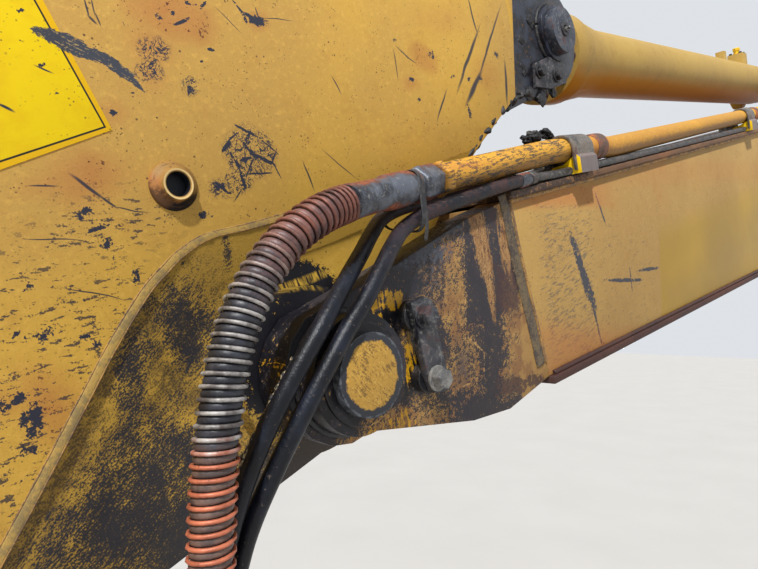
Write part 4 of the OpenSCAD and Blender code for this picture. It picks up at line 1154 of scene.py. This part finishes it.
def bolt_ring(kind, centre, axis, ring, count, body, material=None, start=0.3, size=1.0):
    """Bolts at even distances round a centre, ring away from it."""
    u = Vector(axis).orthogonal().normalized()
    v = Vector(axis).cross(u).normalized()
    for k in range(count):
        turn = start + 2 * math.pi * k / count
        place = centre + ring * (math.cos(turn) * u + math.sin(turn) * v)
        fitted(kind, place, axis, body, material, turn, size)


LINK_PIVOT, CYLINDER_FOOT, LINK_TOP = (2.5, 0.06), (0.33, 0.65), (2.0481, 0.4845)
FOOT_BRACKET = on_boom(3.04, 0.436)
REAR_PIN = on_arm(-0.856, 0.333)
# Each pin's centre, the distance of its end faces from the middle, its ring of bolts and its body
PIN_ENDS = ((FOOT_BRACKET, 0.12, 0.034, "boom"), (on_arm(*CYLINDER_FOOT), 0.104, 0.032, "arm"),
            (on_arm(*LINK_PIVOT), 0.221, 0.034, "idler_links"),
            (on_arm(*LINK_TOP), 0.221, 0.034, "idler_links"))
for side in (1, -1):
    for centre, y, ring, body in PIN_ENDS:
        face = centre + Vector((0, side * y, 0))
        bolt_ring("bolt", face, (0, side, 0), ring, 3, body)
        fitted("nipple", face, (0, side, 0), body)
    if side > 0:
        fitted("nipple", on_arm(2.92, 0.08, 0.12), UP_FROM_ARM, "arm")
    else:
        fitted("nipple", on_boom(0.006, 0.0, -0.2695), DOWN_Y, "boom")

# The keeper plate and the arm pivot pin

DARK_BAR = make_dark_steel("keeper_steel", rgb(40, 41, 47), rgb(84, 84, 88), 0.5, 0.34)
KEEPER = [(-98, 54), (-124, 56), (-136, 49), (-136, 13), (-141, -41), (-144, -58), (-130, -67), (-110, -62),
          (-104, -38)]
bar = cut_plate("keeper_bar", [(x / 1000, z / 1000) for x, z in KEEPER], 0.012, 0.0022)
facing(bar, on_boom(0, 0, 0.237), -BACK_ALONG_BOOM, UP_FROM_BOOM, UP_Y)
finish_piece(bar, "boom", DARK_BAR, ["keeper_plate"])
for i, (back, up) in enumerate(((0.114, 0.0345), (0.118, -0.0455))):
    stood(f"keeper_block_{i + 1}", [(19, 0), (19, 11.2), (18, 12)], on_boom(back, up, BOOM_SIDE), UP_Y,
          "boom", GREASE_COAT, 40, None)
    fitted("big_bolt", on_boom(back, up, 0.249), UP_Y, "boom", WORN_STEEL if i else DARK_BAR, 0.4 + i)

FORK_BOSS_FACE = 0.2545
# The pin's last steps are its left face, which the picture shows
PIN = [(40, -255), (44.6, -250), (44.6, 263), (43.6, 265.5), (38.5, 269), (37.2, 269.4), (36.8, 268.8)]
stood("arm_pivot_pin", PIN, PIVOT, UP_Y, "boom", PIN_PAINT, 72, 24, ["main_pin"])
for side, label in SIDES:
    face = PIVOT + Vector((0, side * FORK_BOSS_FACE, 0))
    stood(f"fork_boss_lip_{label}", [(56, 0), (56, 3), (54, 4.4), (48.5, 4.4)], face, (0, side, 0),
          "boom", FORK_PAINT, 64, None)

# The tube on the arm's flank, and the decal

TUBE = on_arm(0.0808, 0.2436, ARM_SIDE)


def make_tube_paint():
    w = Worn("tube_paint", ARM_AXES, 0.187, rgb(184, 142, 68), rgb(150, 112, 56), wear=0.7)
    p = w.p
    out = p.along((0, 1, 0), TUBE)
    low = p.along((0.5, 0, -0.86), TUBE)
    back = p.along((-0.86, 0, -0.5), TUBE)
    w.rust((low + (w.fine - 0.5) * 0.02).ramp(-0.004, 0.014) * out.ramp(0.0118, 0.009))
    shaded = (low + (w.fine - 0.5) * 0.03 + (w.cloud - 0.5) * 0.02).ramp(0.01, 0.019)
    w.lay(shaded * 0.85, rgb(66, 46, 30), 0.6)
    # Painted shadow: near black on the tube's lower back side near its base, away from the light
    dark = (back + low * 0.5 + (w.fine - 0.5) * 0.01).ramp(0.014, 0.02)
    w.lay(dark * out.ramp(0.0118, 0.0095), rgb(22, 18, 20), 0.5)
    place = p.node("ShaderNodeCombineXYZ", {}, {
        0: p.along(OUT_ALONG_ARM, TUBE), 1: p.along(UP_FROM_ARM, TUBE), 2: 0.0})
    hole = p.vectors("LENGTH", place, out=1)
    # Painted shade: near black inside the tube's hole
    w.lay(hole.ramp(0.0128, 0.0121) * out.ramp(0.0129, 0.0116), rgb(10, 14, 22), 0.5)
    lip = (hole - 0.0143).absolute().ramp(0.0012, 0.0006)
    w.lay(lip * out.ramp(0.0118, 0.0126) * 0.8, rgb(232, 202, 140), 0.4)
    foot = (hole - 0.0215).absolute().ramp(0.001, 0.0004)
    w.lay(foot * w.fine.ramp(0.42, 0.58) * 0.6, rgb(90, 60, 34), 0.6)
    return w.done()


stood("flank_tube", [(25, -1), (24.5, 2.4), (23, 3.8), (19.4, 5.6), (16.8, 8.4), (16, 11.8), (15.2, 13),
                     (13.4, 13), (12.2, 12), (11.8, 0.8)],
      TUBE, UP_Y, "arm", make_tube_paint(), 64, 50, ["arm_tube_boss"])

decal = cut_plate("blank_decal", [(0, 0), (DECAL_W, 0), (DECAL_W, DECAL_H), (0, DECAL_H)], 0.0008, 0.0002)
facing(decal, decal_corner, decal_right, decal_up, UP_Y)
finish_piece(decal, "arm", DECAL)

# Weld beads and the seam strip

def bead(name, line, radius, body, material=None, pitch=0.004, flat=1.0, sides=8, rough=1.0):
    """A run of weld along a line, with the small ripples of its passes."""
    points = spaced(line, pitch)
    ripple = []
    for i in range(len(points)):
        wander = noise.noise(Vector((i * 0.31, radius * 900, len(name))))
        ripple.append(radius * (1 + rough * (0.05 * math.sin(i * 2.1) + 0.12 * wander)))
    return finish_piece(swept(name, points, ripple, sides, flat), body, material or WELD)


def ring_bead(name, centre, radius, thick, body, material=None, steps=120):
    """A bead round a boss whose axis runs across the machine."""
    turns = [2 * math.pi * i / steps for i in range(steps + 1)]
    line = [centre + radius * Vector((math.cos(turn), 0, math.sin(turn))) for turn in turns]
    return bead(name, line, thick, body, material, 2 * math.pi * radius / steps)


def round_corner(a, b, c, radius, steps=10):
    """The arc that rounds the corner b between a and c."""
    u, v = (a - b).normalized(), (c - b).normalized()
    half = u.angle(v) / 2
    p, q = b + u * radius / math.tan(half), b + v * radius / math.tan(half)
    centre = b + (u + v).normalized() * radius / math.sin(half)
    first, last = (p - centre).normalized(), (q - centre).normalized()
    return [centre + radius * first.slerp(last, i / steps) for i in range(steps + 1)]


RIDGE = [(-0.15, 0.172), (0.0, 0.18), (0.062, 0.186), (0.097, 0.18), (0.121, 0.17), (0.148, 0.156),
         (0.194, 0.122), (0.234, 0.088), (0.32, 0.016), (0.462, -0.096)]
RIDGE_SQUARE = UP_FROM_ARM * 0.75 + OUT_ALONG_ARM * 0.66
# Beads lie just under a plate's face, and the rings round bosses just over it
BOOM_SURFACE, ARM_SURFACE = BOOM_SIDE - 0.0002, ARM_SIDE - 0.0002
BOOM_RING, ARM_RING = 0.226, 0.1652
for side, label in SIDES:
    crest = smoothed([on_arm(x, z, side * ARM_SURFACE) for x, z in RIDGE], 6)
    bead(f"ridge_bead_{label}", crest, 0.0042, "arm", RIDGE_WELD, 0.008, 0.16, 12, 0.4)
    for edge, lift in (("above", 0.0044), ("below", -0.0044)):
        bead(f"ridge_line_{edge}_{label}", [p + lift * RIDGE_SQUARE for p in crest], 0.0009,
             "arm", WELD, 0.008, 0.7, 6, 3.0)
    for boss, centre, radius, thick, body, material in (
            ("fork", PIVOT + Vector((0, side * BOOM_RING, 0)), 0.067, 0.0045, "boom", GREASE_COAT),
            ("lift", on_boom(3.31, -0.19, side * BOOM_RING), 0.109, 0.006, "boom", WELD),
            ("link", on_arm(*LINK_PIVOT, side * ARM_RING), 0.071, 0.004, "arm", WELD),
            ("tip", on_arm(2.92, 0.0, side * ARM_RING), 0.081, 0.004, "arm", WELD)):
        ring_bead(f"{boss}_boss_bead_{label}", centre, radius, thick, body, material)

BEND_FROM_PIVOT = 3.4
BEND = on_boom(BEND_FROM_PIVOT, 0)
RISE = math.atan2(BEND.z, BEND.x)
ALONG_FOOT = Vector((math.cos(RISE), 0, math.sin(RISE)))
UP_FROM_FOOT = Vector((-math.sin(RISE), 0, math.cos(RISE)))
HALF_BEND = math.tan((RISE + BOOM_FALL) / 2)


def on_foot(along, up, y):
    """A point by its distance from the boom's foot pin towards the bend, and up from that line."""
    return ALONG_FOOT * along + UP_FROM_FOOT * up + Vector((0, y, 0))


def flange_line(seam, middle, bend, foot, radius, y):
    """The corner of a flange and a side plate, from the fork round the boom's bend to its foot."""
    corner = on_boom(BEND_FROM_PIVOT + bend * HALF_BEND, bend, y)
    start = on_boom(1.88, middle, y)
    end = on_foot(0.32, foot, y)
    return [on_boom(*seam, y), start, *round_corner(start, corner, end, radius), end]


BOOM_CORNER, ARM_CORNER = 0.2262, 0.153
ARM_TOP = [(-0.556, 0.5055), (-0.26, 0.5595), (0.33, 0.5345), (0.52, 0.5045), (2.88, 0.0975)]
for side, label in SIDES:
    plate, corner = side * BOOM_SURFACE, side * BOOM_CORNER
    arm_corner = [on_arm(x, z, side * ARM_CORNER) for x, z in ARM_TOP]
    arm_butt = [on_arm(1.35, z, side * ARM_SURFACE) for z in (-0.1, 0.34)]
    boom_butt = [on_boom(2.35, n, plate) for n in (-0.27, 0.19)]
    boom_foot = [on_foot(1.05, n, plate) for n in (-0.19, 0.17)]
    top_corner = flange_line((0.37, 0.1455), 0.1935, 0.2655, 0.1625, 1.1, corner)
    bottom_corner = flange_line((0.42, -0.142), -0.2495, -0.3555, -0.1625, 1.5, corner)
    for where, line, radius, body, material, pitch, flat, sides in (
            ("top_flange", top_corner, 0.0042, "boom", WELD, 0.008, 1.0, 8),
            ("bottom_flange", bottom_corner, 0.0046, "boom", SOILED_PAINT, 0.008, 1.0, 8),
            ("arm_top", arm_corner, 0.0035, "arm", WELD, 0.005, 1.0, 6),
            ("boom_butt", boom_butt, 0.007, "boom", WELD, 0.006, 0.2, 8),
            ("boom_foot", boom_foot, 0.007, "boom", WELD, 0.004, 0.3, 8),
            ("arm_butt", arm_butt, 0.006, "arm", WELD, 0.004, 0.3, 8)):
        bead(f"{where}_bead_{label}", line, radius, body, material, pitch, flat, sides)

SEAM = ((502, 194), (508, 222), (514, 252), (522, 286), (531, 322), (541, 366))
seam = [seen(x, y, BOOM_SIDE) for x, y in SEAM]
side_step = Vector((0, 0.0003, 0))
bead("seam_strip", [p + side_step for p in seam], 0.012, "boom", GREY_WELD, 0.003, 0.18, 16)
line_step = BACK_ALONG_BOOM * 0.0165 + Vector((0, 0.0002, 0))
bead("seam_edge", [p + line_step for p in seam], 0.0032, "boom", WELD, 0.004, 0.5, 8)

# The pipe line's fittings and saddles

PIPE_SIDE = 0.22
HOSE_START = routed(GUARDED_ROUTE)[0]
PIPE_FIRST, PIPE_SECOND = on_boom(0.19, 0.191, PIPE_SIDE), on_boom(0.52, 0.212, PIPE_SIDE)
TO_PIPE = (PIPE_FIRST - HOSE_START).normalized()
ALONG_PIPE = (PIPE_SECOND - PIPE_FIRST).normalized()


def along_ferrule(d):
    """A point d beyond the hose's end, along the ferrule and then the pipe."""
    reach = (PIPE_FIRST - HOSE_START).length
    if d < reach:
        return HOSE_START + TO_PIPE * d
    return PIPE_FIRST + ALONG_PIPE * (d - reach)


def make_ferrule_steel():
    """Grey steel with a worn light stripe, rusty above and below."""
    p = Paint("ferrule_steel")
    cloud = p.noise(p.place, 40, 5, 0.62)
    fine = p.noise(p.place, 190, 4, 0.7)
    up = facing_up(p)
    colour = p.mixed((cloud + (fine - 0.5) * 0.5).ramp(0.38, 0.62), rgb(98, 103, 114), rgb(46, 47, 53))
    colour = p.mixed(fine.ramp(0.54, 0.7) * 0.6, colour, rgb(156, 156, 152))
    rusty = (up.absolute() + (cloud - 0.5) * 1.0 + (fine - 0.5) * 0.6).ramp(0.66, 0.9)
    colour = p.mixed(rusty, colour, p.mixed(fine.ramp(0.4, 0.6), rgb(160, 92, 62), rgb(100, 60, 50)))
    roughness = 0.34 + cloud * 0.2 + rusty * 0.25
    return p.finish(colour, roughness, fine.ramp(0.75, 0.4) * 0.4, p.bump(fine, 0.0009, 0.7))


FERRULE_STEEL = make_ferrule_steel()
FERRULE = [(19, 0), (19.9, 4), (19, 22), (18.8, 74), (20.2, 79), (21.2, 82), (21.2, 85), (20.3, 87.5),
           (20.3, 89.5), (21.4, 92), (21.4, 95), (20.4, 97.5), (20.4, 99.5), (21.6, 103), (21.6, 132),
           (20.6, 136), (17.8, 137.5), (17.4, 160)]
stood("ferrule", FERRULE, HOSE_START - TO_PIPE * 0.014, TO_PIPE, "boom", FERRULE_STEEL)
hex_piece("union_nut", [(22.2, 0), (25, 4.5), (25, 50), (22.8, 55)], along_ferrule(0.143), TO_PIPE, 0.2,
          0.0022, 3, "boom", FERRULE_STEEL)
hex_piece("pipe_hex", [(23.2, 0), (24.6, 2.2), (24.6, 13), (22.2, 16.5)], along_ferrule(0.1965), ALONG_PIPE,
          0.2, 0.0014, 2, "boom", PIPE_PAINT)
wire = []
for i in range(72):
    across = Vector((0, math.sin(i * math.pi / 12), math.cos(i * math.pi / 12)))
    wire.append(along_ferrule(0.132 + 0.0022 * i / 24) + 0.0192 * across)
finish_piece(swept("binding_wire", wire, 0.0012, 6), "boom", RUSTY)

line_pipe = eased("boom_pipe", "line_pipe", 0.0002, 89, 1)
only(line_pipe)
bpy.ops.object.mode_set(mode="EDIT")
bpy.ops.mesh.select_all(action="SELECT")
bpy.ops.mesh.bisect(plane_co=along_ferrule(0.205), plane_no=ALONG_PIPE, use_fill=True, clear_inner=True)
bpy.ops.object.mode_set(mode="OBJECT")
smooth_by_angle(line_pipe, 35)
finish_piece(line_pipe, "boom", PIPE_PAINT, ["boom_pipe"])

JOINT = [(21.5, 0), (24, 2), (24.6, 10), (22.5, 12), (22.5, 18), (25, 20), (25, 34), (21.5, 36)]
for k, (s, n) in enumerate(((0.672, 0.212), (1.845, 0.2551))):
    stood(f"pipe_joint_{k + 1}", JOINT, on_boom(s, n, PIPE_SIDE), BACK_ALONG_BOOM,
          "boom", RUSTY, 32)

ARCH_R = 0.0265
ARCH = [(ARCH_R * math.cos(math.radians(a)), ARCH_R * math.sin(math.radians(a))) for a in range(0, 181, 12)]


def saddle(k, s, plate_n, line_n, slope):
    """A pressed strap over the pipe, its base block, and the bolts on its far foot."""
    axis = (BACK_ALONG_BOOM + UP_FROM_BOOM * slope).normalized()
    square = (UP_FROM_BOOM - BACK_ALONG_BOOM * slope).normalized()
    centre = on_boom(s, line_n, PIPE_SIDE)
    foot = plate_n - line_n
    inner_arch = [(y * 0.81, z * 0.81) for y, z in reversed(ARCH)]
    strap = [(ARCH_R, foot + 0.006), *ARCH, (-ARCH_R, foot + 0.02), (-0.06, foot + 0.02),
             (-0.06, foot + 0.015), (-0.0215, foot + 0.015), *inner_arch, (0.0215, foot + 0.006)]
    block = [(0.033, foot), (0.033, foot + 0.027), (0.025, foot + 0.034), (0.0, -0.024),
             (-0.056, foot + 0.015), (-0.062, foot)]
    for part, outline, wide, edge, material, replaces in (
            ("strap", strap, 0.076, 0.0012, STRAP_STEEL, ["boom_pipe_clamps"] if k == 1 else ()),
            ("block", block, 0.066, 0.002, BLOCK_PAINT, ())):
        piece = cut_plate(f"saddle_{part}_{k}", outline, wide, edge)
        facing(piece, centre - axis * wide / 2, UP_Y, square, axis)
        finish_piece(piece, "boom", material, replaces)
    for way, letter in ((-0.022, "a"), (0.022, "b")):
        at = centre + axis * way + square * (foot + 0.02) + DOWN_Y * 0.048
        stood(f"saddle_shank_{k}_{letter}", [(6.2, 0), (6.2, 26), (5.2, 28)], at, square, "boom",
              GREASE_COAT, 20, None)
        fitted("big_bolt", at, square, "boom", GREASE_COAT, way * 40, 0.92)


STRAP_STEEL = make_dark_steel("strap_steel", rgb(82, 79, 78), rgb(134, 124, 112), 0.7, 0.4)


def make_block_paint():
    """The saddle's block: grey on its sides and fresh yellow on the end that faces the arm."""
    w = Worn("block_paint", None, bright=rgb(128, 116, 112), faded=rgb(104, 96, 94), wear=0.5)
    facing_arm = w.p.vectors("DOT_PRODUCT", w.p.normal(), tuple(-BACK_ALONG_BOOM), out=1)
    w.lay((facing_arm + (w.cloud - 0.5) * 0.3).ramp(0.6, 0.8), rgb(244, 200, 18), 0.36)
    return w.done()


BLOCK_PAINT = make_block_paint()
saddle(1, 0.6, 0.168, 0.212, 0.0)
saddle(2, 1.76, 0.2048, 0.2514, 0.0434)
saddle(3, 2.7, 0.2453, 0.2929, 0.0443)

tie_at = along_ferrule(0.128)
TIE_LOOP = [
    (0.0, 0.0205), (0.011, 0.0175), (0.0185, 0.008), (0.0205, -0.01), (0.0235, -0.03),
    (0.0245, -0.046), (0.016, -0.056), (-0.006, -0.054), (-0.034, -0.048), (-0.047, -0.036),
    (-0.046, -0.022), (-0.032, -0.004), (-0.0185, 0.01), (-0.01, 0.0178), (0.0, 0.0205)]
TIE_TAIL = [(0.019, 0.006), (0.0215, -0.014), (0.025, -0.036), (0.0262, -0.054), (0.024, -0.07)]
for name, shape, wide, step in (("tie_loop", TIE_LOOP, 0.0034, 0.0), ("tie_tail", TIE_TAIL, 0.003, 0.006)):
    line = smoothed([tie_at + Vector((0, y, z)) + TO_PIPE * step for y, z in shape], 4)
    finish_piece(swept(name, line, wide, 10, 0.4), "boom", TIE)

# Couplings at the hoses' ends

SLIM_R = 0.0095
FULL_SIZE = 0.0205
SLEEVE_LENGTH = 0.07
SLEEVE = [(22.5, 0), (24, 3), (24, 14), (23, 17), (24, 20), (24, 26), (23, 29), (24, 32), (24, 60), (20, 66),
          (20, 74)]
NUT = [(24, 0), (26.2, 3), (26.2, 32), (24, 36)]


def coupling(name, at, axis, size, body):
    """A ferrule over the hose's end and a hex nut on the pipe; axis runs from the hose to the pipe."""
    k = size / FULL_SIZE
    sleeve, nut = ([(r * k, h * k) for r, h in profile] for profile in (SLEEVE, NUT))
    stood(name + "_sleeve", sleeve, at - axis * SLEEVE_LENGTH * k, axis,
          body, FERRULE_STEEL, 36)
    hex_piece(name + "_nut", nut, at + axis * 0.002 * k, axis, 0.3, 0.0016 * k, 2,
              body, DARK_STEEL)


coupling("guarded_end", on_arm(0.85, -0.08, 0.205), UP_FROM_ARM, 0.019, "arm")
for place, route, x, z in (
        ("front", SLIM_FRONT_ROUTE, 0.74, -0.07), ("rear", SLIM_REAR_ROUTE, 0.69, -0.066)):
    coupling(place + "_end", on_arm(x, z, 0.186), UP_FROM_ARM, SLIM_R, "arm")
    first, second = routed(route)[:2]
    coupling(place + "_start", first, (first - second).normalized(), SLIM_R, "boom")

# The arm cylinder's head, ports and rear pin

CYLINDER_BACK = (FOOT_BRACKET - REAR_PIN).normalized()
CYLINDER_UP = Vector((CYLINDER_BACK.z, 0, -CYLINDER_BACK.x))
BUCKET_BACK = (on_arm(*CYLINDER_FOOT) - on_arm(*LINK_TOP)).normalized()


def gland(name, at, axis, rod, collar, body, count):
    """The rod's wiper ring and the screws round the head. The radii of rod and collar are in millimetres."""
    rings = [(rod + 1, 0), (rod + 4.5, 1.5), (rod + 6, 6), (rod + 12, 8), (rod + 14, 15)]
    stood(name, rings, at - axis * 0.014, axis, body, GREASE_COAT, 56)
    bolt_ring("bolt", at, -axis, ((rod + collar) / 2 + 8) / 1000, count, body, None, 0.2)


gland("arm_cylinder_gland", REAR_PIN + CYLINDER_BACK * 0.15, CYLINDER_BACK, 50, 108,
      "arm_cylinder_barrel", 10)
gland("bucket_cylinder_gland", on_arm(*LINK_TOP) + BUCKET_BACK * 0.14, BUCKET_BACK, 40, 88.4,
      "bucket_cylinder_barrel", 8)
PORT = (FOOT_BRACKET - REAR_PIN).length - 0.29
for x, y in ((-0.024, -0.019), (-0.024, 0.019), (0.024, -0.019), (0.024, 0.019)):
    fitted("bolt", REAR_PIN + CYLINDER_BACK * (PORT + x) + CYLINDER_UP * 0.131 + UP_Y * y, CYLINDER_UP,
           "arm_cylinder_barrel", DARK_STEEL, x * 30, 0.7)
stood("port_elbow", [(16, 0), (16, 8), (12.5, 10), (12.5, 18), (15, 20), (15, 30), (13, 32)],
      REAR_PIN + CYLINDER_BACK * PORT + CYLINDER_UP * 0.129, CYLINDER_UP,
      "arm_cylinder_barrel", BRIGHT_PAINT, 6)

for side, label in SIDES:
    out = Vector((0, side, 0))
    face = REAR_PIN + out * 0.15
    stood(f"rear_pin_cap_{label}", [(15, 0), (15, 3.5), (13.8, 4.5), (8, 4.5), (7.2, 3.5), (7, 1)],
          face - out * 0.001, out, "arm", GREASE_COAT, 32)
    fitted("nipple", face, out, "arm", WORN_STEEL, 0.0, 0.8)
    ring_bead(f"rear_boss_bead_{label}", REAR_PIN + out * 0.12, 0.06, 0.0042, "arm", GREASE_COAT)


def plate_at(name, pixels, side, thickness, material, body):
    """A small bolted plate whose corners are where the picture shows them."""
    corners = [seen(x, y, side) for x, y in pixels]
    across = (corners[1] - corners[0]).normalized()
    up = Vector((across.z, 0, -across.x))
    outline = [((c - corners[0]).dot(across), (c - corners[0]).dot(up)) for c in corners]
    piece = cut_plate(name, outline, thickness, 0.0012)
    facing(piece, corners[0], across, up, UP_Y)
    return finish_piece(piece, body, material)


STOP_CORNERS = [(533, 88), (532, 64), (545, 58), (562, 62), (563, 84), (548, 90)]
STOP_BOLTS = ((539, 72), (556, 76))
plate_at("rear_pin_stop", STOP_CORNERS, 0.119, 0.009, DARK_BAR, "arm")
for x, y in STOP_BOLTS:
    fitted("bolt", seen(x, y, 0.128), UP_Y, "arm", GREASE_COAT, x, 1.1)

EDGE = [(468, 156), (474, 148), (480, 139), (487, 130), (494, 120), (502, 111), (511, 103), (522, 96),
        (530, 92)]
for k, (depth, size) in enumerate(((0.162, 0.0032), (0.15, 0.005))):
    line = spaced(smoothed([seen(x, y - 1, depth) for x, y in EDGE], 6), 0.003)
    rope = [p + 0.007 * noise.noise_vector(p * 70 + Vector((k, 0, 0))) for p in line]
    piece = swept(f"grease_edge_{k + 1}", rope, [size * (1 + 1.1 * noise.noise(p * 110)) for p in rope], 10)
    finish_piece(piece, "arm", GREASE_COAT)
# Pixel x and y of each lump, and its size in millimetres
SADDLE_LUMPS = ((526, 140, 9), (534, 137, 13), (544, 134, 11), (550, 136, 8))
EAR_LUMPS = ((529, 94, 14), (541, 97, 16), (553, 92, 12), (524, 70, 12), (520, 40, 10), (530, 22, 13))
for where, lumps, side, step, start, squash, body in (
        ("saddle", SADDLE_LUMPS, 0.176, 4.3, 1, (1.3, 0.8, 0.8), "boom"),
        ("ear", EAR_LUMPS, 0.118, 5.1, 2, (1.1, 0.35, 1.0), "arm")):
    for k, (x, y, size) in enumerate(lumps):
        piece = lump(f"grease_{where}_{k + 1}", seen(x, y, side), size / 1000, k * step + start, squash)
        finish_piece(piece, body, GREASE_COAT)

for pattern in PATTERNS.values():
    bpy.data.objects.remove(pattern)

# Hoses

HOSE_R, WIRE_R, GUARD_R = 0.018, 0.0019, 0.021
GUARD_PITCH = 0.0105
STEPS_IN_TURN = 18
RING_STEP = 0.0013
CLOSE_WOUND = 0.08
GROOVE = 0.0016


def ridden(piece, material, replaces=()):
    """Gives a soft piece that runs from the boom to the arm its finish, on no body, and bakes its place into
    its mesh.
    """
    finish_piece(piece, None, material, replaces)
    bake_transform(piece)
    return piece


def eased_step(t):
    """From 0 to 1 with a gentle start and end."""
    t = min(1.0, max(0.0, t))
    return t * t * (3 - 2 * t)


def guarded_pieces(line):
    """The hose, which swells out between the turns of its spring, and the spring, which is wound closer
    at its start."""
    rings = spaced(line, RING_STEP)
    runs = runs_of(rings)
    turns = [0.0]
    for a, b in zip(runs, runs[1:]):
        turns.append(turns[-1] + (b - a) / (GUARD_PITCH * (0.5 + 0.5 * eased_step(a / CLOSE_WOUND))))
    sides, radii, groove_shade = 24, [], []
    for turn in turns:
        off = [2 * abs((turn - k / sides + 0.5) % 1 - 0.5) for k in range(sides)]
        swell = [math.sin(math.pi / 2 * min(1.0, max(0.0, (o - 0.3) / 0.5))) for o in off]
        radii.append([HOSE_R - GROOVE * (1 - w) for w in swell])
        groove_shade += [1 - w for w in swell]
    body = swept("guarded_hose_body", rings, radii, sides)
    # This attribute marks the grooves between the spring's turns, which the hose's finish darkens as painted
    # shade
    body.data.attributes.new("groove_shade", "FLOAT", "POINT").data.foreach_set("value", groove_shade)
    frames = frames_along(rings)
    wire, wire_runs, i = [], [], 0
    for step in range(int(STEPS_IN_TURN * turns[10]), int(STEPS_IN_TURN * turns[-4])):
        at = step / STEPS_IN_TURN
        while turns[i + 1] < at:
            i += 1
        share = (at - turns[i]) / (turns[i + 1] - turns[i])
        p, u, v = (frames[i][k].lerp(frames[i + 1][k], share) for k in (0, 2, 3))
        angle = 2 * math.pi * at
        wobble = 0.0003 * noise.noise(Vector((at * 1.7, 0, 0)))
        wire.append(p + (GUARD_R - WIRE_R - 0.0002 + wobble) * (math.cos(angle) * u + math.sin(angle) * v))
        wire_runs.append(runs[i])
    return body, swept("spring_guard", wire, WIRE_R, 6, 1.0, wire_runs)


guarded_line, front_line, rear_line = (
    smoothed(routed(route)) for route in (GUARDED_ROUTE, SLIM_FRONT_ROUTE, SLIM_REAR_ROUTE))
guarded, coil = guarded_pieces(guarded_line)
ridden(guarded, HOSE_COVER, ["guarded_hose"])
ridden(coil, SPRING)
front_hose, rear_hose = (
    ridden(swept(f"slim_hose_{place}_body", line, SLIM_R, 24), RUBBER,
           [f"slim_hose_{place}"])
    for place, line in (("front", front_line), ("rear", rear_line)))

# Dirt has caked along the front slim hose, on the side that the picture shows left
CAKED_FROM, CAKED_TO = 358, 480
caked = [p + view_turn @ Vector((-0.0088, 0, 0.0025)) for p in spaced(front_line, 0.0022)
         if CAKED_FROM < pixel(p)[1] < CAKED_TO]
caked = [p + 0.0016 * noise.noise_vector(p * 160) for p in caked]
crust = swept("caked_dirt", caked, [0.0024 * (1 + 0.8 * noise.noise(p * 210)) for p in caked], 8)
ridden(crust, CRUST)

for piece, line, size, company in (
        (guarded, guarded_line, 2 * HOSE_R, [coil]), (front_hose, front_line, 2 * SLIM_R, [crust]),
        (rear_hose, rear_line, 2 * SLIM_R, [])):
    length_of(line)

# Floor and light

bpy.ops.object.select_all(action="DESELECT")
bpy.ops.mesh.primitive_plane_add(size=120, location=(4, 0, -3.5))
floor = bpy.context.object
floor.name = "floor"
paint = Paint("floor_paint")
grey = paint.mixed(paint.noise(paint.place, 0.7, 3), rgb(186, 183, 178), rgb(196, 193, 188))
floor.data.materials.append(paint.finish(grey, 0.9))

world = bpy.data.worlds.new("studio")
bpy.context.scene.world = world
world.use_nodes = True
sky = Nodes(world.node_tree)
backdrop = world.node_tree.nodes["Background"]
backdrop.inputs["Color"].default_value = (0.8, 0.83, 0.87, 1)
camera_ray, clear_ray, glossy_ray = (
    sky.node("ShaderNodeLightPath", {}, {}, out=f"Is {kind} Ray")
    for kind in ("Camera", "Transmission", "Glossy"))
seen_at_all = camera_ray.most(clear_ray).most(glossy_ray)
level = sky.node("ShaderNodeMapRange", {}, {"Value": seen_at_all, "To Min": 0.5, "To Max": 0.92})
world.node_tree.links.new(level.socket, backdrop.inputs["Strength"])


def sun(name, heading, height, strength, softness):
    """A broad far lamp. heading is the side it shines from, in degrees from +X towards +Y."""
    a, e = math.radians(heading), math.radians(height)
    towards = Vector((math.cos(e) * math.cos(a), math.cos(e) * math.sin(a), math.sin(e)))
    bpy.ops.object.light_add(type="SUN", rotation=towards.to_track_quat("Z", "Y").to_euler())
    lamp = bpy.context.object
    lamp.name = name
    lamp.data.energy = strength
    lamp.data.angle = math.radians(softness)


sun("key", 38, 48, 4.2, 2.5)
sun("fill", -130, 30, 0.4, 60)

bpy.context.scene.view_settings.view_transform = "Standard"
